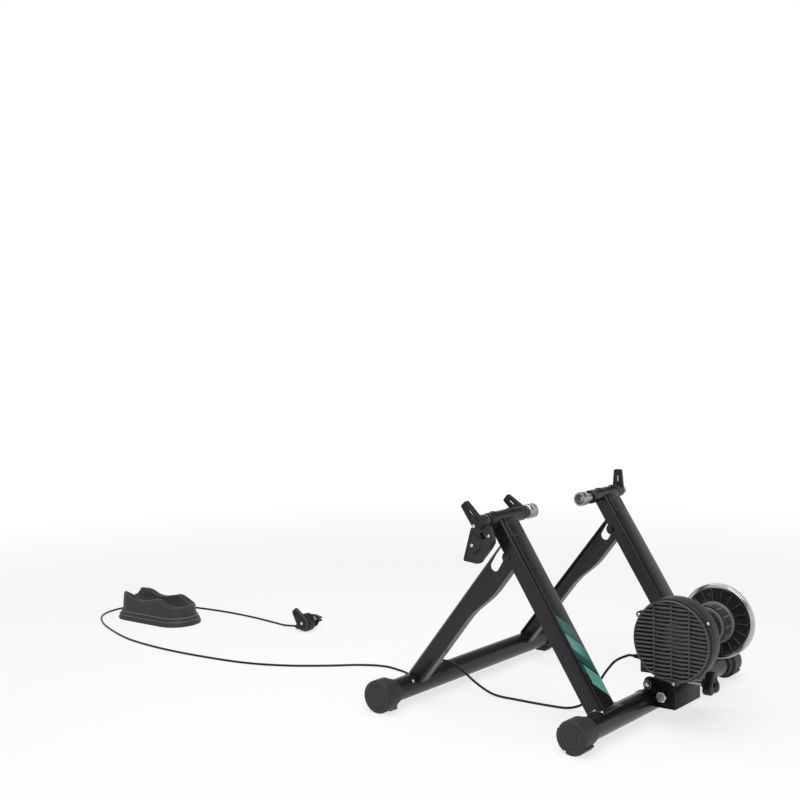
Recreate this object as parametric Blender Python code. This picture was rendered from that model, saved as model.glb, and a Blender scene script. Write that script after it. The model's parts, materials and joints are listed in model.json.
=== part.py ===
"""Folding magnetic bike trainer with its riser block, shift cable and remote.

Metres, +Z up, +X from the stand towards the riser block, +Y to its left, floor at Z = 0.
Shapes are drawn in the stand's own frame, whose origin is on the floor under the axle clamps.
The root empty then moves the whole kit so that its outer box is centred on X = 0.
"""
import math

import bpy
import bmesh
from mathutils import Matrix, Vector
from mathutils.geometry import convex_hull_2d

# Clearances
GAP = 0.0003
RUNNING_GAP = 0.0005
OVER = 0.010          # how far a cutter reaches past the faces that it cuts
LIP = 0.001           # small chamfers

# Stand
AXLE_Z = 0.367
REAR_TUBE_X = -0.211
FRONT_TUBE_X = 0.206
TUBE_R = 0.021
TUBE_WALL = 0.002
CAP_R = 0.031
HALF_WIDTH = 0.3055
CAP_LENGTH = 0.047
CAP_DISC = 0.030
CAP_END = 0.005
CAP_WALL = 0.0032
CAM_SECTORS = 4
CAM_FLATS = 5
CAM_FLAT_TURN = 16.0
CAM_STEP = 0.0008
CAM_NOTCH = 0.0035
UPRIGHT_INSET = 0.1185
UPRIGHT_Y = HALF_WIDTH - UPRIGHT_INSET
UPRIGHT_WIDTH = 0.054
UPRIGHT_DEPTH = 0.028
UPRIGHT_WALL = 0.0025
SADDLE_T = 0.003
SADDLE_HALF = 0.033
SADDLE_ANGLE = math.radians(64)
LEG_T = 0.028
LEG_WALL = 0.0025
LEG_FRONT_FLANGE = 0.010
LEG_SLOT_WIDTH = 0.016
LEG_SLOT_LENGTH = 0.051
FOLD_PIN_R = 0.004
FOLD_EAR_R = 0.011
FOLD_BUSH_R = 0.009
PIN_HEAD_R = 0.0060
PIN_HEAD_T = 0.0035

# Clamps
SLEEVE_R = 0.0135
SLEEVE_IN = UPRIGHT_Y - 0.063
SLEEVE_OUT = UPRIGHT_Y + 0.049
SPINDLE_R = 0.008
CLAMP_TRAVEL = 0.008
RING_T = 0.0065
CUP_LENGTH = 0.023
CUP_R = 0.0135
CUP_RECESS_R = 0.0102
CUP_RECESS = 0.009
HUB_R = 0.0145
WING_REACH = 0.044
WING_TIP_HALF = 0.0072
WING_T = 0.009
WING_SLOT_WIDTH = 0.005
WING_SLOT_LENGTH = 0.015
LEVER_T = 0.0195
LEVER_WALL = 0.0035

# Resistance unit
UNIT_X = -0.287
UNIT_Z = 0.160
DRUM_R = 0.0745
DRUM_FACE = 0.100
DRUM_BACK = 0.045
COVER_T = 0.006
GRILLE_R = DRUM_R - 0.010
GRILLE_ROWS = 18
GRILLE_GAP = 0.0038
GRILLE_RIB = 0.0028
NECK_R = 0.036
NECK_WALL = 0.003
NECK_IN = -0.042
NECK_OUT = -0.080
NECK_WINDOW_ROWS = 12
NECK_WINDOW_COLUMNS = 3
CARRIER_BORE_R = 0.030
CARRIER_T = 0.004
MAGNETS = 6
MAGNET_R = 0.0085
MAGNET_STANDS = 0.0025
MAGNET_PATH_R = DRUM_R - 0.0285
BEARING_R = 0.0155
BEARING_W = 0.009
SHAFT_R = 0.006
ROLLER_R = 0.0175
FLYWHEEL_R = 0.069
FLYWHEEL_IN = NECK_OUT - 0.006
FLYWHEEL_W = 0.016
FLYWHEEL_RIM = 0.007
FLYWHEEL_RIBS = 18
FLYWHEEL_RIB_T = 0.0018
FLYWHEEL_RIB_IN = 0.034
YOKE_T = 0.003
PIVOT_X = -0.249
PIVOT_Z = 0.047
PIVOT_R = 0.005
BRACKET_NEAR = 0.055
BRACKET_FAR = -0.045
BRACKET_T = 0.003
STOP_X = -0.224
STOP_Z = 0.067
STOP_R = 0.0083
KNOB_X = -0.316
KNOB_Z = 0.0665
KNOB_R = 0.0235
KNOB_T = 0.016
ROD_R = 0.004

# Riser block
BLOCK_X = 1.150
BLOCK_LENGTH = 0.240
BLOCK_WIDTH = 0.112
BLOCK_HEIGHT = 0.066
SKIRT_HEIGHT = 0.020
BLOCK_CORNER = BLOCK_WIDTH / 2 - 0.004
BLOCK_RIB_T = 0.004
CRADLE_R = 0.336
CRADLE_WIDTH = 0.052
CRADLE_LOW = 0.030

# The block's top edge falls below its full height in waves: shares of the half length, and drops
WAVE = ((1.10, 0.0000), (0.80, 0.0000), (0.56, 0.0054), (0.37, 0.0137), (0.18, 0.0160),
        (0.00, 0.0130), (-0.15, 0.0095), (-0.28, 0.0060), (-0.42, 0.0090), (-0.58, 0.0175),
        (-0.73, 0.0220), (-0.87, 0.0210), (-1.10, 0.0160))

# Cable and remote
CABLE_R = 0.00235
GLAND_LENGTH = 0.018
REMOTE_X = 0.760
REMOTE_Y = -0.135
REMOTE_BODY_R = 0.021
BAR_R = 0.0112

PIVOT = Vector((PIVOT_X, 0, PIVOT_Z))
UNIT = Vector((UNIT_X, 0, UNIT_Z))
AXLE = Vector((0, 0, AXLE_Z))
REAR_TUBE = Vector((REAR_TUBE_X, 0, CAP_R))
FRONT_TUBE = Vector((FRONT_TUBE_X, 0, CAP_R))
BLOCK_FRONT = BLOCK_X + BLOCK_LENGTH / 2
CENTRE_X = (BLOCK_FRONT + UNIT_X - DRUM_R) / 2

# Directions of the rear upright: along it, and square to it towards the front
UP = (AXLE - REAR_TUBE).normalized()
AHEAD = Vector((UP.z, 0, -UP.x))
UPRIGHT_LENGTH = (AXLE - REAR_TUBE).length

# The front legs turn on a pin near the top of the uprights
FOLD_DROP = 0.0715
FOLD_AHEAD = 0.0125
FOLD = REAR_TUBE + UP * (UPRIGHT_LENGTH - FOLD_DROP) + AHEAD * FOLD_AHEAD
LEG_PIN_BACK = 0.022
LEG_SPAN = (FOLD - FRONT_TUBE).length
LEG_REACH = math.sqrt(LEG_SPAN ** 2 - LEG_PIN_BACK ** 2)
LEG_TURN = math.asin(LEG_PIN_BACK / LEG_SPAN)
LEG_UP = Matrix.Rotation(LEG_TURN, 3, "Y") @ (FOLD - FRONT_TUBE).normalized()
LEG_AHEAD = Vector((LEG_UP.z, 0, -LEG_UP.x))
LEG_FRONT_LOW = 0.0200
LEG_FRONT_TOP = 0.0098
LEG_WIDTH_LOW = 0.033
LEG_WIDTH_TOP = 0.046
LEG_FLARE_START = 0.160
LEG_FLARE = 0.080
LEG_END = 0.014
LEG_CORNER = 0.012
LEG_SLOT_AHEAD_TOP = -0.0015
LEG_SLOT_AHEAD_LOW = -0.0050

# Places along the clamps
LEVER_IN = SLEEVE_OUT + 0.0035
LEVER_OUT = LEVER_IN + LEVER_T
WING_NUT_IN = LEVER_OUT + RUNNING_GAP
SPINDLE_LEFT_END = WING_NUT_IN + 0.008
SPINDLE_RIGHT_END = SLEEVE_OUT + 0.026
RING_IN = SLEEVE_IN - RUNNING_GAP - RING_T
CUP_BACK = RING_IN - 0.001 - CLAMP_TRAVEL
CUP_MOUTH = CUP_BACK - CUP_LENGTH
CUP_FLOOR = CUP_MOUTH + CUP_RECESS

# Places along the resistance unit's axis
YOKE_NEAR = DRUM_BACK - GAP
YOKE_FAR = NECK_IN + GAP
YOKE_MIDDLE = Vector((PIVOT_X - 0.008, 0, PIVOT_Z + 0.043))
ROLLER_NEAR = YOKE_NEAR - YOKE_T - 0.0025
ROLLER_FAR = YOKE_FAR + YOKE_T + 0.0025
COVER_BACK = DRUM_FACE - COVER_T
DRUM_BORE_R = DRUM_R - 0.0055
EAR_R = 0.006
CARRIER_Y = COVER_BACK - 0.016
ROTOR_Y = CARRIER_Y - 0.009
ROTOR_T = 0.004
ROTOR_R = DRUM_BORE_R - 0.009
SHAFT_NEAR = ROTOR_Y + ROTOR_T + 0.0015
FLYWHEEL_OUT = FLYWHEEL_IN - FLYWHEEL_W
NUT_T = 0.006
SHAFT_FAR = FLYWHEEL_OUT - NUT_T + 0.001
FOOT_ROOT_R = DRUM_R - 0.002
FOOT_LOW_TURN = -62
FOOT_HIGH_TURN = -30
FOOT_FRONT = UNIT_X + DRUM_R - 0.0079
FOOT_LOW = UNIT_Z + FOOT_ROOT_R * math.sin(math.radians(FOOT_LOW_TURN)) - 0.0020
FOOT_HIGH = UNIT_Z + FOOT_ROOT_R * math.sin(math.radians(FOOT_HIGH_TURN)) + 0.00225
GLAND_R = 0.0062
GLAND_Y = COVER_BACK - 0.021
GLAND_Z = FOOT_HIGH - GLAND_R - 0.0018
CABLE_START = Vector((FOOT_FRONT + GAP + GLAND_LENGTH + GAP, GLAND_Y, GLAND_Z))
WEB_BACK = -0.2735

# The screw's tip stands just behind the sloping rear edge of the yoke's lower arm
ARM_LOW_R = 0.009
ARM_HIGH_R = 0.010
YOKE_HEAD_R = 0.030
ARM_SHARE = (KNOB_Z - PIVOT_Z) / (YOKE_MIDDLE.z - PIVOT_Z)
ARM_SLOPE = math.atan2(PIVOT_X - YOKE_MIDDLE.x, YOKE_MIDDLE.z - PIVOT_Z)
ARM_R = ARM_LOW_R + (ARM_HIGH_R - ARM_LOW_R) * ARM_SHARE
ARM_BACK = PIVOT_X + (YOKE_MIDDLE.x - PIVOT_X) * ARM_SHARE - ARM_R / math.cos(ARM_SLOPE)
ROD_TIP = ARM_BACK - ROD_R * 0.5 * math.tan(ARM_SLOPE) - 2 * GAP
KNOB_FRONT = KNOB_X + KNOB_T / 2
KNOB_REAR = KNOB_X - KNOB_T / 2

# The remote lies on the floor, its band open towards the far side
REMOTE = Vector((REMOTE_X, REMOTE_Y, REMOTE_BODY_R))
BAND_R = 0.0145
BAND_WIDTH = 0.012
BODY_IN = REMOTE_Y + BAND_R + GAP
BODY_T = 0.019
THUMB_IN = BODY_IN + BODY_T + GAP
THUMB_T = 0.007
SOCKET_Z = 0.0068
SOCKET_END = REMOTE_X + 0.034

ORIGINS = {
    "stand": Vector((0, 0, 0)),
    "front_frame": FOLD,
    "left_spindle": AXLE + Vector((0, SLEEVE_OUT, 0)),
    "left_wing_nut": AXLE + Vector((0, WING_NUT_IN, 0)),
    "left_wing_ring": AXLE + Vector((0, RING_IN, 0)),
    "clamp_lever": AXLE + Vector((0, LEVER_IN, 0)),
    "right_spindle": AXLE - Vector((0, SLEEVE_OUT, 0)),
    "right_wing_nut": AXLE - Vector((0, SLEEVE_OUT, 0)),
    "left_foot": REAR_TUBE + Vector((0, HALF_WIDTH, 0)),
    "right_foot": REAR_TUBE - Vector((0, HALF_WIDTH, 0)),
    "unit": PIVOT,
    "rotor": UNIT,
    "magnets": UNIT + Vector((0, CARRIER_Y, 0)),
    "tension_screw": Vector((ROD_TIP, 0, KNOB_Z)),
    "tension_knob": Vector((KNOB_X, 0, KNOB_Z)),
    "thumb_lever": REMOTE,
}
CARRIERS = {
    "left_wing_nut": "left_spindle",
    "rotor": "unit",
    "magnets": "unit",
    "tension_knob": "tension_screw",
}


def clear_scene():
    for thing in list(bpy.data.objects):
        bpy.data.objects.remove(thing, do_unlink=True)


def add_empties():
    """One empty for the kit and one on each joint's axis, parented as the joints are."""
    empties = {}
    kit = bpy.data.objects.new("kit", None)
    kit.location = (-CENTRE_X, 0, 0)
    bpy.context.scene.collection.objects.link(kit)
    for name in ORIGINS:
        empties[name] = bpy.data.objects.new("at_" + name, None)
        bpy.context.scene.collection.objects.link(empties[name])
    for name, empty in empties.items():
        carrier = CARRIERS.get(name)
        empty.parent = empties[carrier] if carrier else kit
        empty.location = ORIGINS[name] - (ORIGINS[carrier] if carrier else Vector())
    return empties


def paint(name, colour, roughness, metallic=0.0):
    made = bpy.data.materials.get(name) or bpy.data.materials.new(name)
    made.use_nodes = True
    shader = made.node_tree.nodes["Principled BSDF"]
    shader.inputs["Base Color"].default_value = (*colour, 1)
    shader.inputs["Roughness"].default_value = roughness
    shader.inputs["Metallic"].default_value = metallic
    made.diffuse_color = (*colour, 1)
    return made


# Flat outlines, as lists of (x, z) points

def arc(centre, radius, start, end, steps):
    """Points of an arc; start and end are in degrees, anticlockwise from +X."""
    turns = [math.radians(start + (end - start) * i / steps) for i in range(steps + 1)]
    return [(centre[0] + radius * math.cos(a), centre[1] + radius * math.sin(a)) for a in turns]


def circle(centre, radius, steps):
    return arc(centre, radius, 0, 360, steps)[:-1]


def hull(points):
    return [points[i] for i in convex_hull_2d([Vector(p) for p in points])]


def slot(first, second, radius, steps=8):
    return hull(circle(first, radius, 2 * steps) + circle(second, radius, 2 * steps))


def rounded_box(half_x, half_y, radius, steps=5):
    corners = ((1, 1, 0), (-1, 1, 90), (-1, -1, 180), (1, -1, 270))
    points = []
    for sx, sy, turn in corners:
        centre = (sx * (half_x - radius), sy * (half_y - radius))
        points += arc(centre, radius, turn, turn + 90, steps)
    return points


def smooth_step(value):
    value = min(1.0, max(0.0, value))
    return value * value * (3 - 2 * value)


# Solids, as meshes drawn in the stand's frame

def flat(point):
    return (point.x, point.z)


def prism(outline, y_low, y_high):
    """A flat outline in X and Z, pushed through along Y."""
    mesh = bmesh.new()
    face = mesh.faces.new([mesh.verts.new((x, y_low, z)) for x, z in outline])
    grown = bmesh.ops.extrude_face_region(mesh, geom=[face])["geom"]
    moved = [item for item in grown if isinstance(item, bmesh.types.BMVert)]
    bmesh.ops.translate(mesh, verts=moved, vec=(0, y_high - y_low, 0))
    return mesh


def turned(profile, centre, segments, direction=(0, 1, 0)):
    """A profile of (radius, height) points turned about an axis through centre.

    A profile whose ends lie on the axis makes a full solid, any other is closed into a ring.
    """
    mesh = bmesh.new()
    verts = [mesh.verts.new((radius, height, 0)) for radius, height in profile]
    pairs = list(zip(verts, verts[1:]))
    if min(radius for radius, height in profile) > 0:
        pairs.append((verts[-1], verts[0]))
    edges = [mesh.edges.new(pair) for pair in pairs]
    bmesh.ops.spin(mesh, geom=verts + edges, cent=(0, 0, 0), axis=(0, 1, 0),
                   angle=2 * math.pi, steps=segments, use_merge=True)
    bmesh.ops.remove_doubles(mesh, verts=mesh.verts, dist=1e-6)
    middles = [v for v in mesh.verts if math.hypot(v.co.x, v.co.z) < 1e-6]
    bmesh.ops.dissolve_verts(mesh, verts=middles)
    turn = Vector((0, 1, 0)).rotation_difference(Vector(direction)).to_matrix().to_4x4()
    bmesh.ops.transform(mesh, verts=mesh.verts, matrix=Matrix.Translation(centre) @ turn)
    return mesh


def rod(centre, radius, y_low, y_high, segments, chamfer=0.0):
    profile = [(0, y_low), (radius - chamfer, y_low)]
    if chamfer:
        profile += [(radius, y_low + chamfer), (radius, y_high - chamfer)]
    profile += [(radius - chamfer, y_high), (0, y_high)]
    return turned(profile, Vector((centre.x, 0, centre.z)), segments)


def pipe(centre, inner, outer, y_low, y_high, segments):
    profile = [(inner, y_low), (outer, y_low), (outer, y_high), (inner, y_high)]
    return turned(profile, Vector((centre.x, 0, centre.z)), segments)


def hexagon(centre, across, y_low, y_high):
    corner = across / math.sqrt(3)
    return prism(circle(flat(centre), corner, 6), y_low, y_high)


def windowed_shell(outer, inner, turns, is_window, centre):
    """Turned shell with windows; outer and inner give (radius, height) at the same stations.

    The cell between stations i and i + 1, and between turns j and j + 1, is left open where
    is_window(i, j) says so.
    """
    mesh = bmesh.new()
    skins = []
    for path in (outer, inner):
        skins.append([[mesh.verts.new((r * math.cos(a), h, r * math.sin(a))) for a in turns]
                      for r, h in path])
    count, last = len(turns), len(outer) - 1

    def wall(first, second):
        corners = [skins[0][first[0]][first[1]], skins[0][second[0]][second[1]],
                   skins[1][second[0]][second[1]], skins[1][first[0]][first[1]]]
        mesh.faces.new(corners)

    for j in range(count):
        k = (j + 1) % count
        wall((0, j), (0, k))
        wall((last, j), (last, k))
        for i in range(last):
            if not is_window(i, j):
                for skin in skins:
                    mesh.faces.new((skin[i][j], skin[i][k], skin[i + 1][k], skin[i + 1][j]))
                continue
            sides = (((i, j), (i, k), (i - 1, j)), ((i + 1, j), (i + 1, k), (i + 1, j)),
                     ((i, j), (i + 1, j), (i, j - 1)), ((i, k), (i + 1, k), (i, k)))
            for first, second, beyond in sides:
                if not is_window(*beyond):
                    wall(first, second)
    bmesh.ops.translate(mesh, verts=mesh.verts, vec=centre)
    return mesh


def loft(rings):
    """Closed skin through rings of points, each with as many points."""
    mesh = bmesh.new()
    loops = [[mesh.verts.new(point) for point in ring] for ring in rings]
    for low, high in zip(loops, loops[1:]):
        for i in range(len(low)):
            j = (i + 1) % len(low)
            mesh.faces.new((low[i], low[j], high[j], high[i]))
    mesh.faces.new(loops[0])
    mesh.faces.new(loops[-1])
    return mesh


def boxes(spans):
    """Separate boxes in one mesh, each given by two opposite corners."""
    mesh = bmesh.new()
    for low, high in spans:
        made = bmesh.ops.create_cube(mesh, size=1)["verts"]
        size = [b - a for a, b in zip(low, high)]
        middle = [(a + b) / 2 for a, b in zip(low, high)]
        bmesh.ops.scale(mesh, verts=made, vec=size)
        bmesh.ops.translate(mesh, verts=made, vec=middle)
    mesh.verts.ensure_lookup_table()
    return mesh


# Objects

class Kit:
    """Adds pieces and cutters to the scene, each on the empty of its body."""

    def __init__(self, empties):
        self.empties = empties

    def add(self, name, mesh, body):
        bmesh.ops.recalc_face_normals(mesh, faces=mesh.faces)
        bmesh.ops.translate(mesh, verts=mesh.verts, vec=-ORIGINS[body])
        data = bpy.data.meshes.new(name)
        mesh.to_mesh(data)
        mesh.free()
        made = bpy.data.objects.new(name, data)
        bpy.context.scene.collection.objects.link(made)
        made.parent = self.empties[body]
        return made

    def piece(self, name, mesh, finish, body="stand", sharp=35):
        made = self.add(name, mesh, body)
        made.data.shade_smooth()
        made.data.set_sharp_from_angle(angle=math.radians(sharp))
        made.data.materials.append(finish)
        return made

    def combine(self, target, operation, mesh, body="stand"):
        """Cuts a mesh from a piece, or joins it on, with a Boolean modifier."""
        tool = self.add(target.name + "_" + operation.lower(), mesh, body)
        tool.hide_render = True
        tool.display_type = "WIRE"
        step = target.modifiers.new(tool.name, "BOOLEAN")
        step.operation = operation
        step.solver = "EXACT"
        step.object = tool

    def cut(self, target, mesh, body="stand"):
        self.combine(target, "DIFFERENCE", mesh, body)

    def join(self, target, mesh, body="stand"):
        self.combine(target, "UNION", mesh, body)

    def soften(self, target, width, segments=2, angle=50):
        step = target.modifiers.new("rounding", "BEVEL")
        step.width = width
        step.segments = segments
        step.limit_method = "ANGLE"
        step.angle_limit = math.radians(angle)


# Folding stand

def floor_tube(kit, name, centre, finish, body):
    end = HALF_WIDTH - CAP_END - GAP
    kit.piece(name, pipe(centre, TUBE_R - TUBE_WALL, TUBE_R, -end, end, 28), finish, body)


def channel_outline():
    """Section of an upright: depth towards the front, then width along Y; open to the front."""
    depth, half, wall = UPRIGHT_DEPTH / 2, UPRIGHT_WIDTH / 2, UPRIGHT_WALL
    outer, inner = 0.006, 0.006 - wall
    points = [(depth, half)]
    points += arc((outer - depth, half - outer), outer, 90, 180, 3)
    points += arc((outer - depth, outer - half), outer, 180, 270, 3)
    points += [(depth, -half), (depth, wall - half)]
    points += arc((outer - depth, outer - half), inner, 270, 180, 3)
    points += arc((outer - depth, half - outer), inner, 180, 90, 3)
    points += [(depth, half - wall)]
    return points


def upright(kit, name, side, finish):
    centre = REAR_TUBE + Vector((0, side * UPRIGHT_Y, 0))
    rings = []
    for along in (TUBE_R / 2, UPRIGHT_LENGTH - SLEEVE_R / 2):
        start = centre + UP * along
        rings.append([start + AHEAD * u + Vector((0, v, 0)) for u, v in channel_outline()])
    made = kit.piece(name, loft(rings), finish)
    half, wall = UPRIGHT_WIDTH / 2, UPRIGHT_WALL
    for edge in (side * UPRIGHT_Y - half, side * UPRIGHT_Y + half - wall):
        kit.join(made, prism(circle(flat(FOLD), FOLD_EAR_R, 14), edge - GAP, edge + wall + GAP))
    low, high = side * UPRIGHT_Y - half - OVER, side * UPRIGHT_Y + half + OVER
    kit.cut(made, rod(FOLD, FOLD_PIN_R + GAP, low, high, 12))
    kit.cut(made, rod(REAR_TUBE, TUBE_R + SADDLE_T + 2 * GAP, low, high, 28))
    kit.cut(made, rod(AXLE, SLEEVE_R + GAP, low, high, 24))


def saddle(kit, name, side, finish):
    middle = math.degrees(math.atan2(UP.z, UP.x))
    spread = math.degrees(SADDLE_ANGLE)
    inner, outer = TUBE_R + GAP, TUBE_R + GAP + SADDLE_T
    outline = arc(flat(REAR_TUBE), outer, middle - spread, middle + spread, 12)
    outline += arc(flat(REAR_TUBE), inner, middle + spread, middle - spread, 12)
    low = side * UPRIGHT_Y - SADDLE_HALF
    kit.piece(name, prism(outline, low, low + 2 * SADDLE_HALF), finish)


def fold_pin(kit, name, side, finish):
    ear = UPRIGHT_WIDTH / 2 + 2 * GAP
    centre = Vector((FOLD.x, side * UPRIGHT_Y, FOLD.z))
    profile = [(0, -ear - PIN_HEAD_T), (PIN_HEAD_R, -ear - PIN_HEAD_T), (PIN_HEAD_R, -ear),
               (FOLD_PIN_R, -ear), (FOLD_PIN_R, ear), (PIN_HEAD_R, ear),
               (PIN_HEAD_R, ear + PIN_HEAD_T * 0.4), (PIN_HEAD_R * 0.7, ear + PIN_HEAD_T),
               (0, ear + PIN_HEAD_T)]
    kit.piece(name, turned(profile, centre, 12, (0, side, 0)), finish)


def leg_edge(along, inset):
    """Front and rear edge of a front leg at a distance from the front tube's axis."""
    share = along / LEG_REACH
    front = LEG_FRONT_LOW + (LEG_FRONT_TOP - LEG_FRONT_LOW) * share
    flare = smooth_step((along - LEG_REACH + LEG_FLARE_START) / LEG_FLARE)
    width = LEG_WIDTH_LOW + (LEG_WIDTH_TOP - LEG_WIDTH_LOW) * flare
    return front - inset, front - width + inset


def leg_outline(start, inset):
    """Side view of a front leg, flared towards its round-cornered top."""
    end = LEG_REACH + LEG_END - inset
    radius = LEG_CORNER - inset
    bends = [LEG_REACH - LEG_FLARE_START + LEG_FLARE * i / 4 for i in range(5)]
    stations = [start] + bends + [end - radius]
    front = [(along, leg_edge(along, inset)[0]) for along in stations]
    rear = [(along, leg_edge(along, inset)[1]) for along in reversed(stations)]
    front_low, rear_low = front[-1][1], rear[0][1]
    top = arc((end - radius, front_low - radius), radius, 90, 0, 3)[1:]
    top += arc((end - radius, rear_low + radius), radius, 0, -90, 3)[:-1]
    points = front + top + rear
    return [flat(FRONT_TUBE + LEG_UP * s + LEG_AHEAD * t) for s, t in points]


def leg_front_strip():
    """Side view of the part of the front flange that is cut away, so that the slot shows through."""
    top = LEG_REACH + LEG_END - LEG_CORNER
    front = [(along, leg_edge(along, -LIP)[0]) for along in (0, top)]
    rear = [(along, leg_edge(along, LEG_WALL + GAP)[0]) for along in (top, 0)]
    return [flat(FRONT_TUBE + LEG_UP * s + LEG_AHEAD * t) for s, t in front + rear]


def front_leg(kit, name, side, finish):
    """Pressed channel with its web outside, a deep rear flange and a shallow front one."""
    centre = side * UPRIGHT_Y
    half = LEG_T / 2
    made = kit.piece(name, prism(leg_outline(TUBE_R / 2, 0), centre - half, centre + half),
                     finish, "front_frame")
    kit.soften(made, 0.004, 1, 60)
    open_side = centre - side * (half + OVER)
    web_side = centre + side * (half - LEG_WALL)
    pocket = leg_outline(0, LEG_WALL)
    kit.cut(made, prism(pocket, *sorted((open_side, web_side))), "front_frame")
    flange_end = centre + side * (half - LEG_FRONT_FLANGE)
    kit.cut(made, prism(leg_front_strip(), *sorted((open_side, flange_end))), "front_frame")
    wide = (centre - half - OVER, centre + half + OVER)
    high = (LEG_REACH - 0.001, LEG_SLOT_AHEAD_TOP)
    low = (LEG_REACH - 0.001 - LEG_SLOT_LENGTH + LEG_SLOT_WIDTH, LEG_SLOT_AHEAD_LOW)
    places = [flat(FRONT_TUBE + LEG_UP * s + LEG_AHEAD * t) for s, t in (high, low)]
    kit.cut(made, prism(slot(*places, LEG_SLOT_WIDTH / 2, 6), *wide), "front_frame")
    bush = UPRIGHT_WIDTH / 2 - UPRIGHT_WALL - 2 * RUNNING_GAP
    kit.join(made, rod(FOLD, FOLD_BUSH_R, centre - bush, centre + bush, 14), "front_frame")
    kit.cut(made, rod(FOLD, FOLD_PIN_R + GAP, *wide, 12), "front_frame")
    kit.cut(made, rod(FRONT_TUBE, TUBE_R + GAP, *wide, 28), "front_frame")


def cap_profile():
    """Half section of an end cap, from its outer face to its open inner end."""
    bore = TUBE_R + GAP
    return [(0, 0), (CAP_R - 0.003, 0), (CAP_R, -0.003), (CAP_R, -CAP_DISC),
            (bore + CAP_WALL, -CAP_DISC - 0.007), (bore + CAP_WALL, -CAP_LENGTH),
            (bore, -CAP_LENGTH), (bore, -CAP_END), (0, -CAP_END)]


def front_cap(kit, name, side, finish):
    centre = FRONT_TUBE + Vector((0, side * HALF_WIDTH, 0))
    made = kit.piece(name, turned(cap_profile(), centre, 24, (0, side, 0)), finish,
                     "front_frame")
    ends = sorted((side * (HALF_WIDTH - CAP_LENGTH), side * (HALF_WIDTH - CAP_DISC + 0.004)))
    low = (FRONT_TUBE_X - 0.012, ends[0], 0)
    high = (FRONT_TUBE_X + 0.012, ends[1], CAP_R - TUBE_R - GAP - 0.0012)
    kit.join(made, boxes([(low, high)]), "front_frame")


def cam_outline(inset):
    """Four round sectors at falling distances from the tube's axis, with notches between them.

    Each sector is a row of flats. The foot rests on one of them.
    """
    points = []
    for i in range(CAM_SECTORS):
        middle = -90 - CAM_FLAT_TURN + i * 360 / CAM_SECTORS
        corner = (CAP_R - i * CAM_STEP) / math.cos(math.radians(CAM_FLAT_TURN / 2)) - inset
        half = CAM_FLAT_TURN * CAM_FLATS / 2
        points += arc(flat(REAR_TUBE), corner, middle - half, middle + half, CAM_FLATS)
        mid = middle + 180 / CAM_SECTORS
        points += arc(flat(REAR_TUBE), CAP_R - CAM_NOTCH - inset, mid - 2.5, mid + 2.5, 1)
    return points


def levelling_foot(kit, name, side, finish):
    body = "left_foot" if side > 0 else "right_foot"
    rings = []
    for depth, inset in ((0, 0.002), (0.002, 0), (CAP_DISC, 0)):
        y = side * (HALF_WIDTH - depth)
        rings.append([(x, y, z) for x, z in cam_outline(inset)])
    made = kit.piece(name, loft(rings), finish, body)
    outside = sorted((side * (HALF_WIDTH - CAP_LENGTH), side * (HALF_WIDTH - CAP_DISC + 0.004)))
    kit.join(made, rod(REAR_TUBE, TUBE_R + GAP + CAP_WALL, *outside, 24), body)
    bore = sorted((side * (HALF_WIDTH - CAP_LENGTH - 0.004), side * (HALF_WIDTH - CAP_END)))
    kit.cut(made, rod(REAR_TUBE, TUBE_R + GAP, *bore, 32), body)


# Axle clamps

def sleeve(kit, name, side, finish):
    ends = sorted((side * SLEEVE_IN, side * SLEEVE_OUT))
    kit.piece(name, pipe(AXLE, SPINDLE_R + GAP, SLEEVE_R, *ends, 24), finish)


def axle_cup(kit, name, side, finish, body):
    bore = SPINDLE_R + GAP
    profile = [(bore, CUP_BACK), (CUP_R - 0.002, CUP_BACK), (CUP_R, CUP_BACK - 0.004),
               (CUP_R, CUP_MOUTH + 0.001), (CUP_R - 0.001, CUP_MOUTH),
               (CUP_RECESS_R, CUP_MOUTH), (CUP_RECESS_R - 0.0012, CUP_FLOOR),
               (bore, CUP_FLOOR)]
    centre = Vector((AXLE.x, 0, AXLE.z))
    kit.piece(name, turned(profile, centre, 20, (0, side, 0)), finish, body)


def spindle(kit, name, side, end, finish, body):
    ends = sorted((side * (CUP_FLOOR + GAP), side * end))
    kit.piece(name, rod(AXLE, SPINDLE_R, *ends, 24, 0.001), finish, body)


def wing_outline(turn, inset):
    """Hub circle drawn out into a wing that points along turn, in degrees from +X."""
    points = circle((0, 0), HUB_R - inset, 20)
    tip, half = WING_REACH - inset, WING_TIP_HALF - inset
    corner = 0.003
    points += arc((tip - corner, half - corner), corner, 0, 90, 3)
    points += arc((tip - corner, corner - half), corner, 270, 360, 3)
    spin = Matrix.Rotation(math.radians(turn), 2)
    placed = [spin @ Vector(p) for p in hull(points)]
    return [(AXLE.x + p.x, AXLE.z + p.y) for p in placed]


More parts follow.
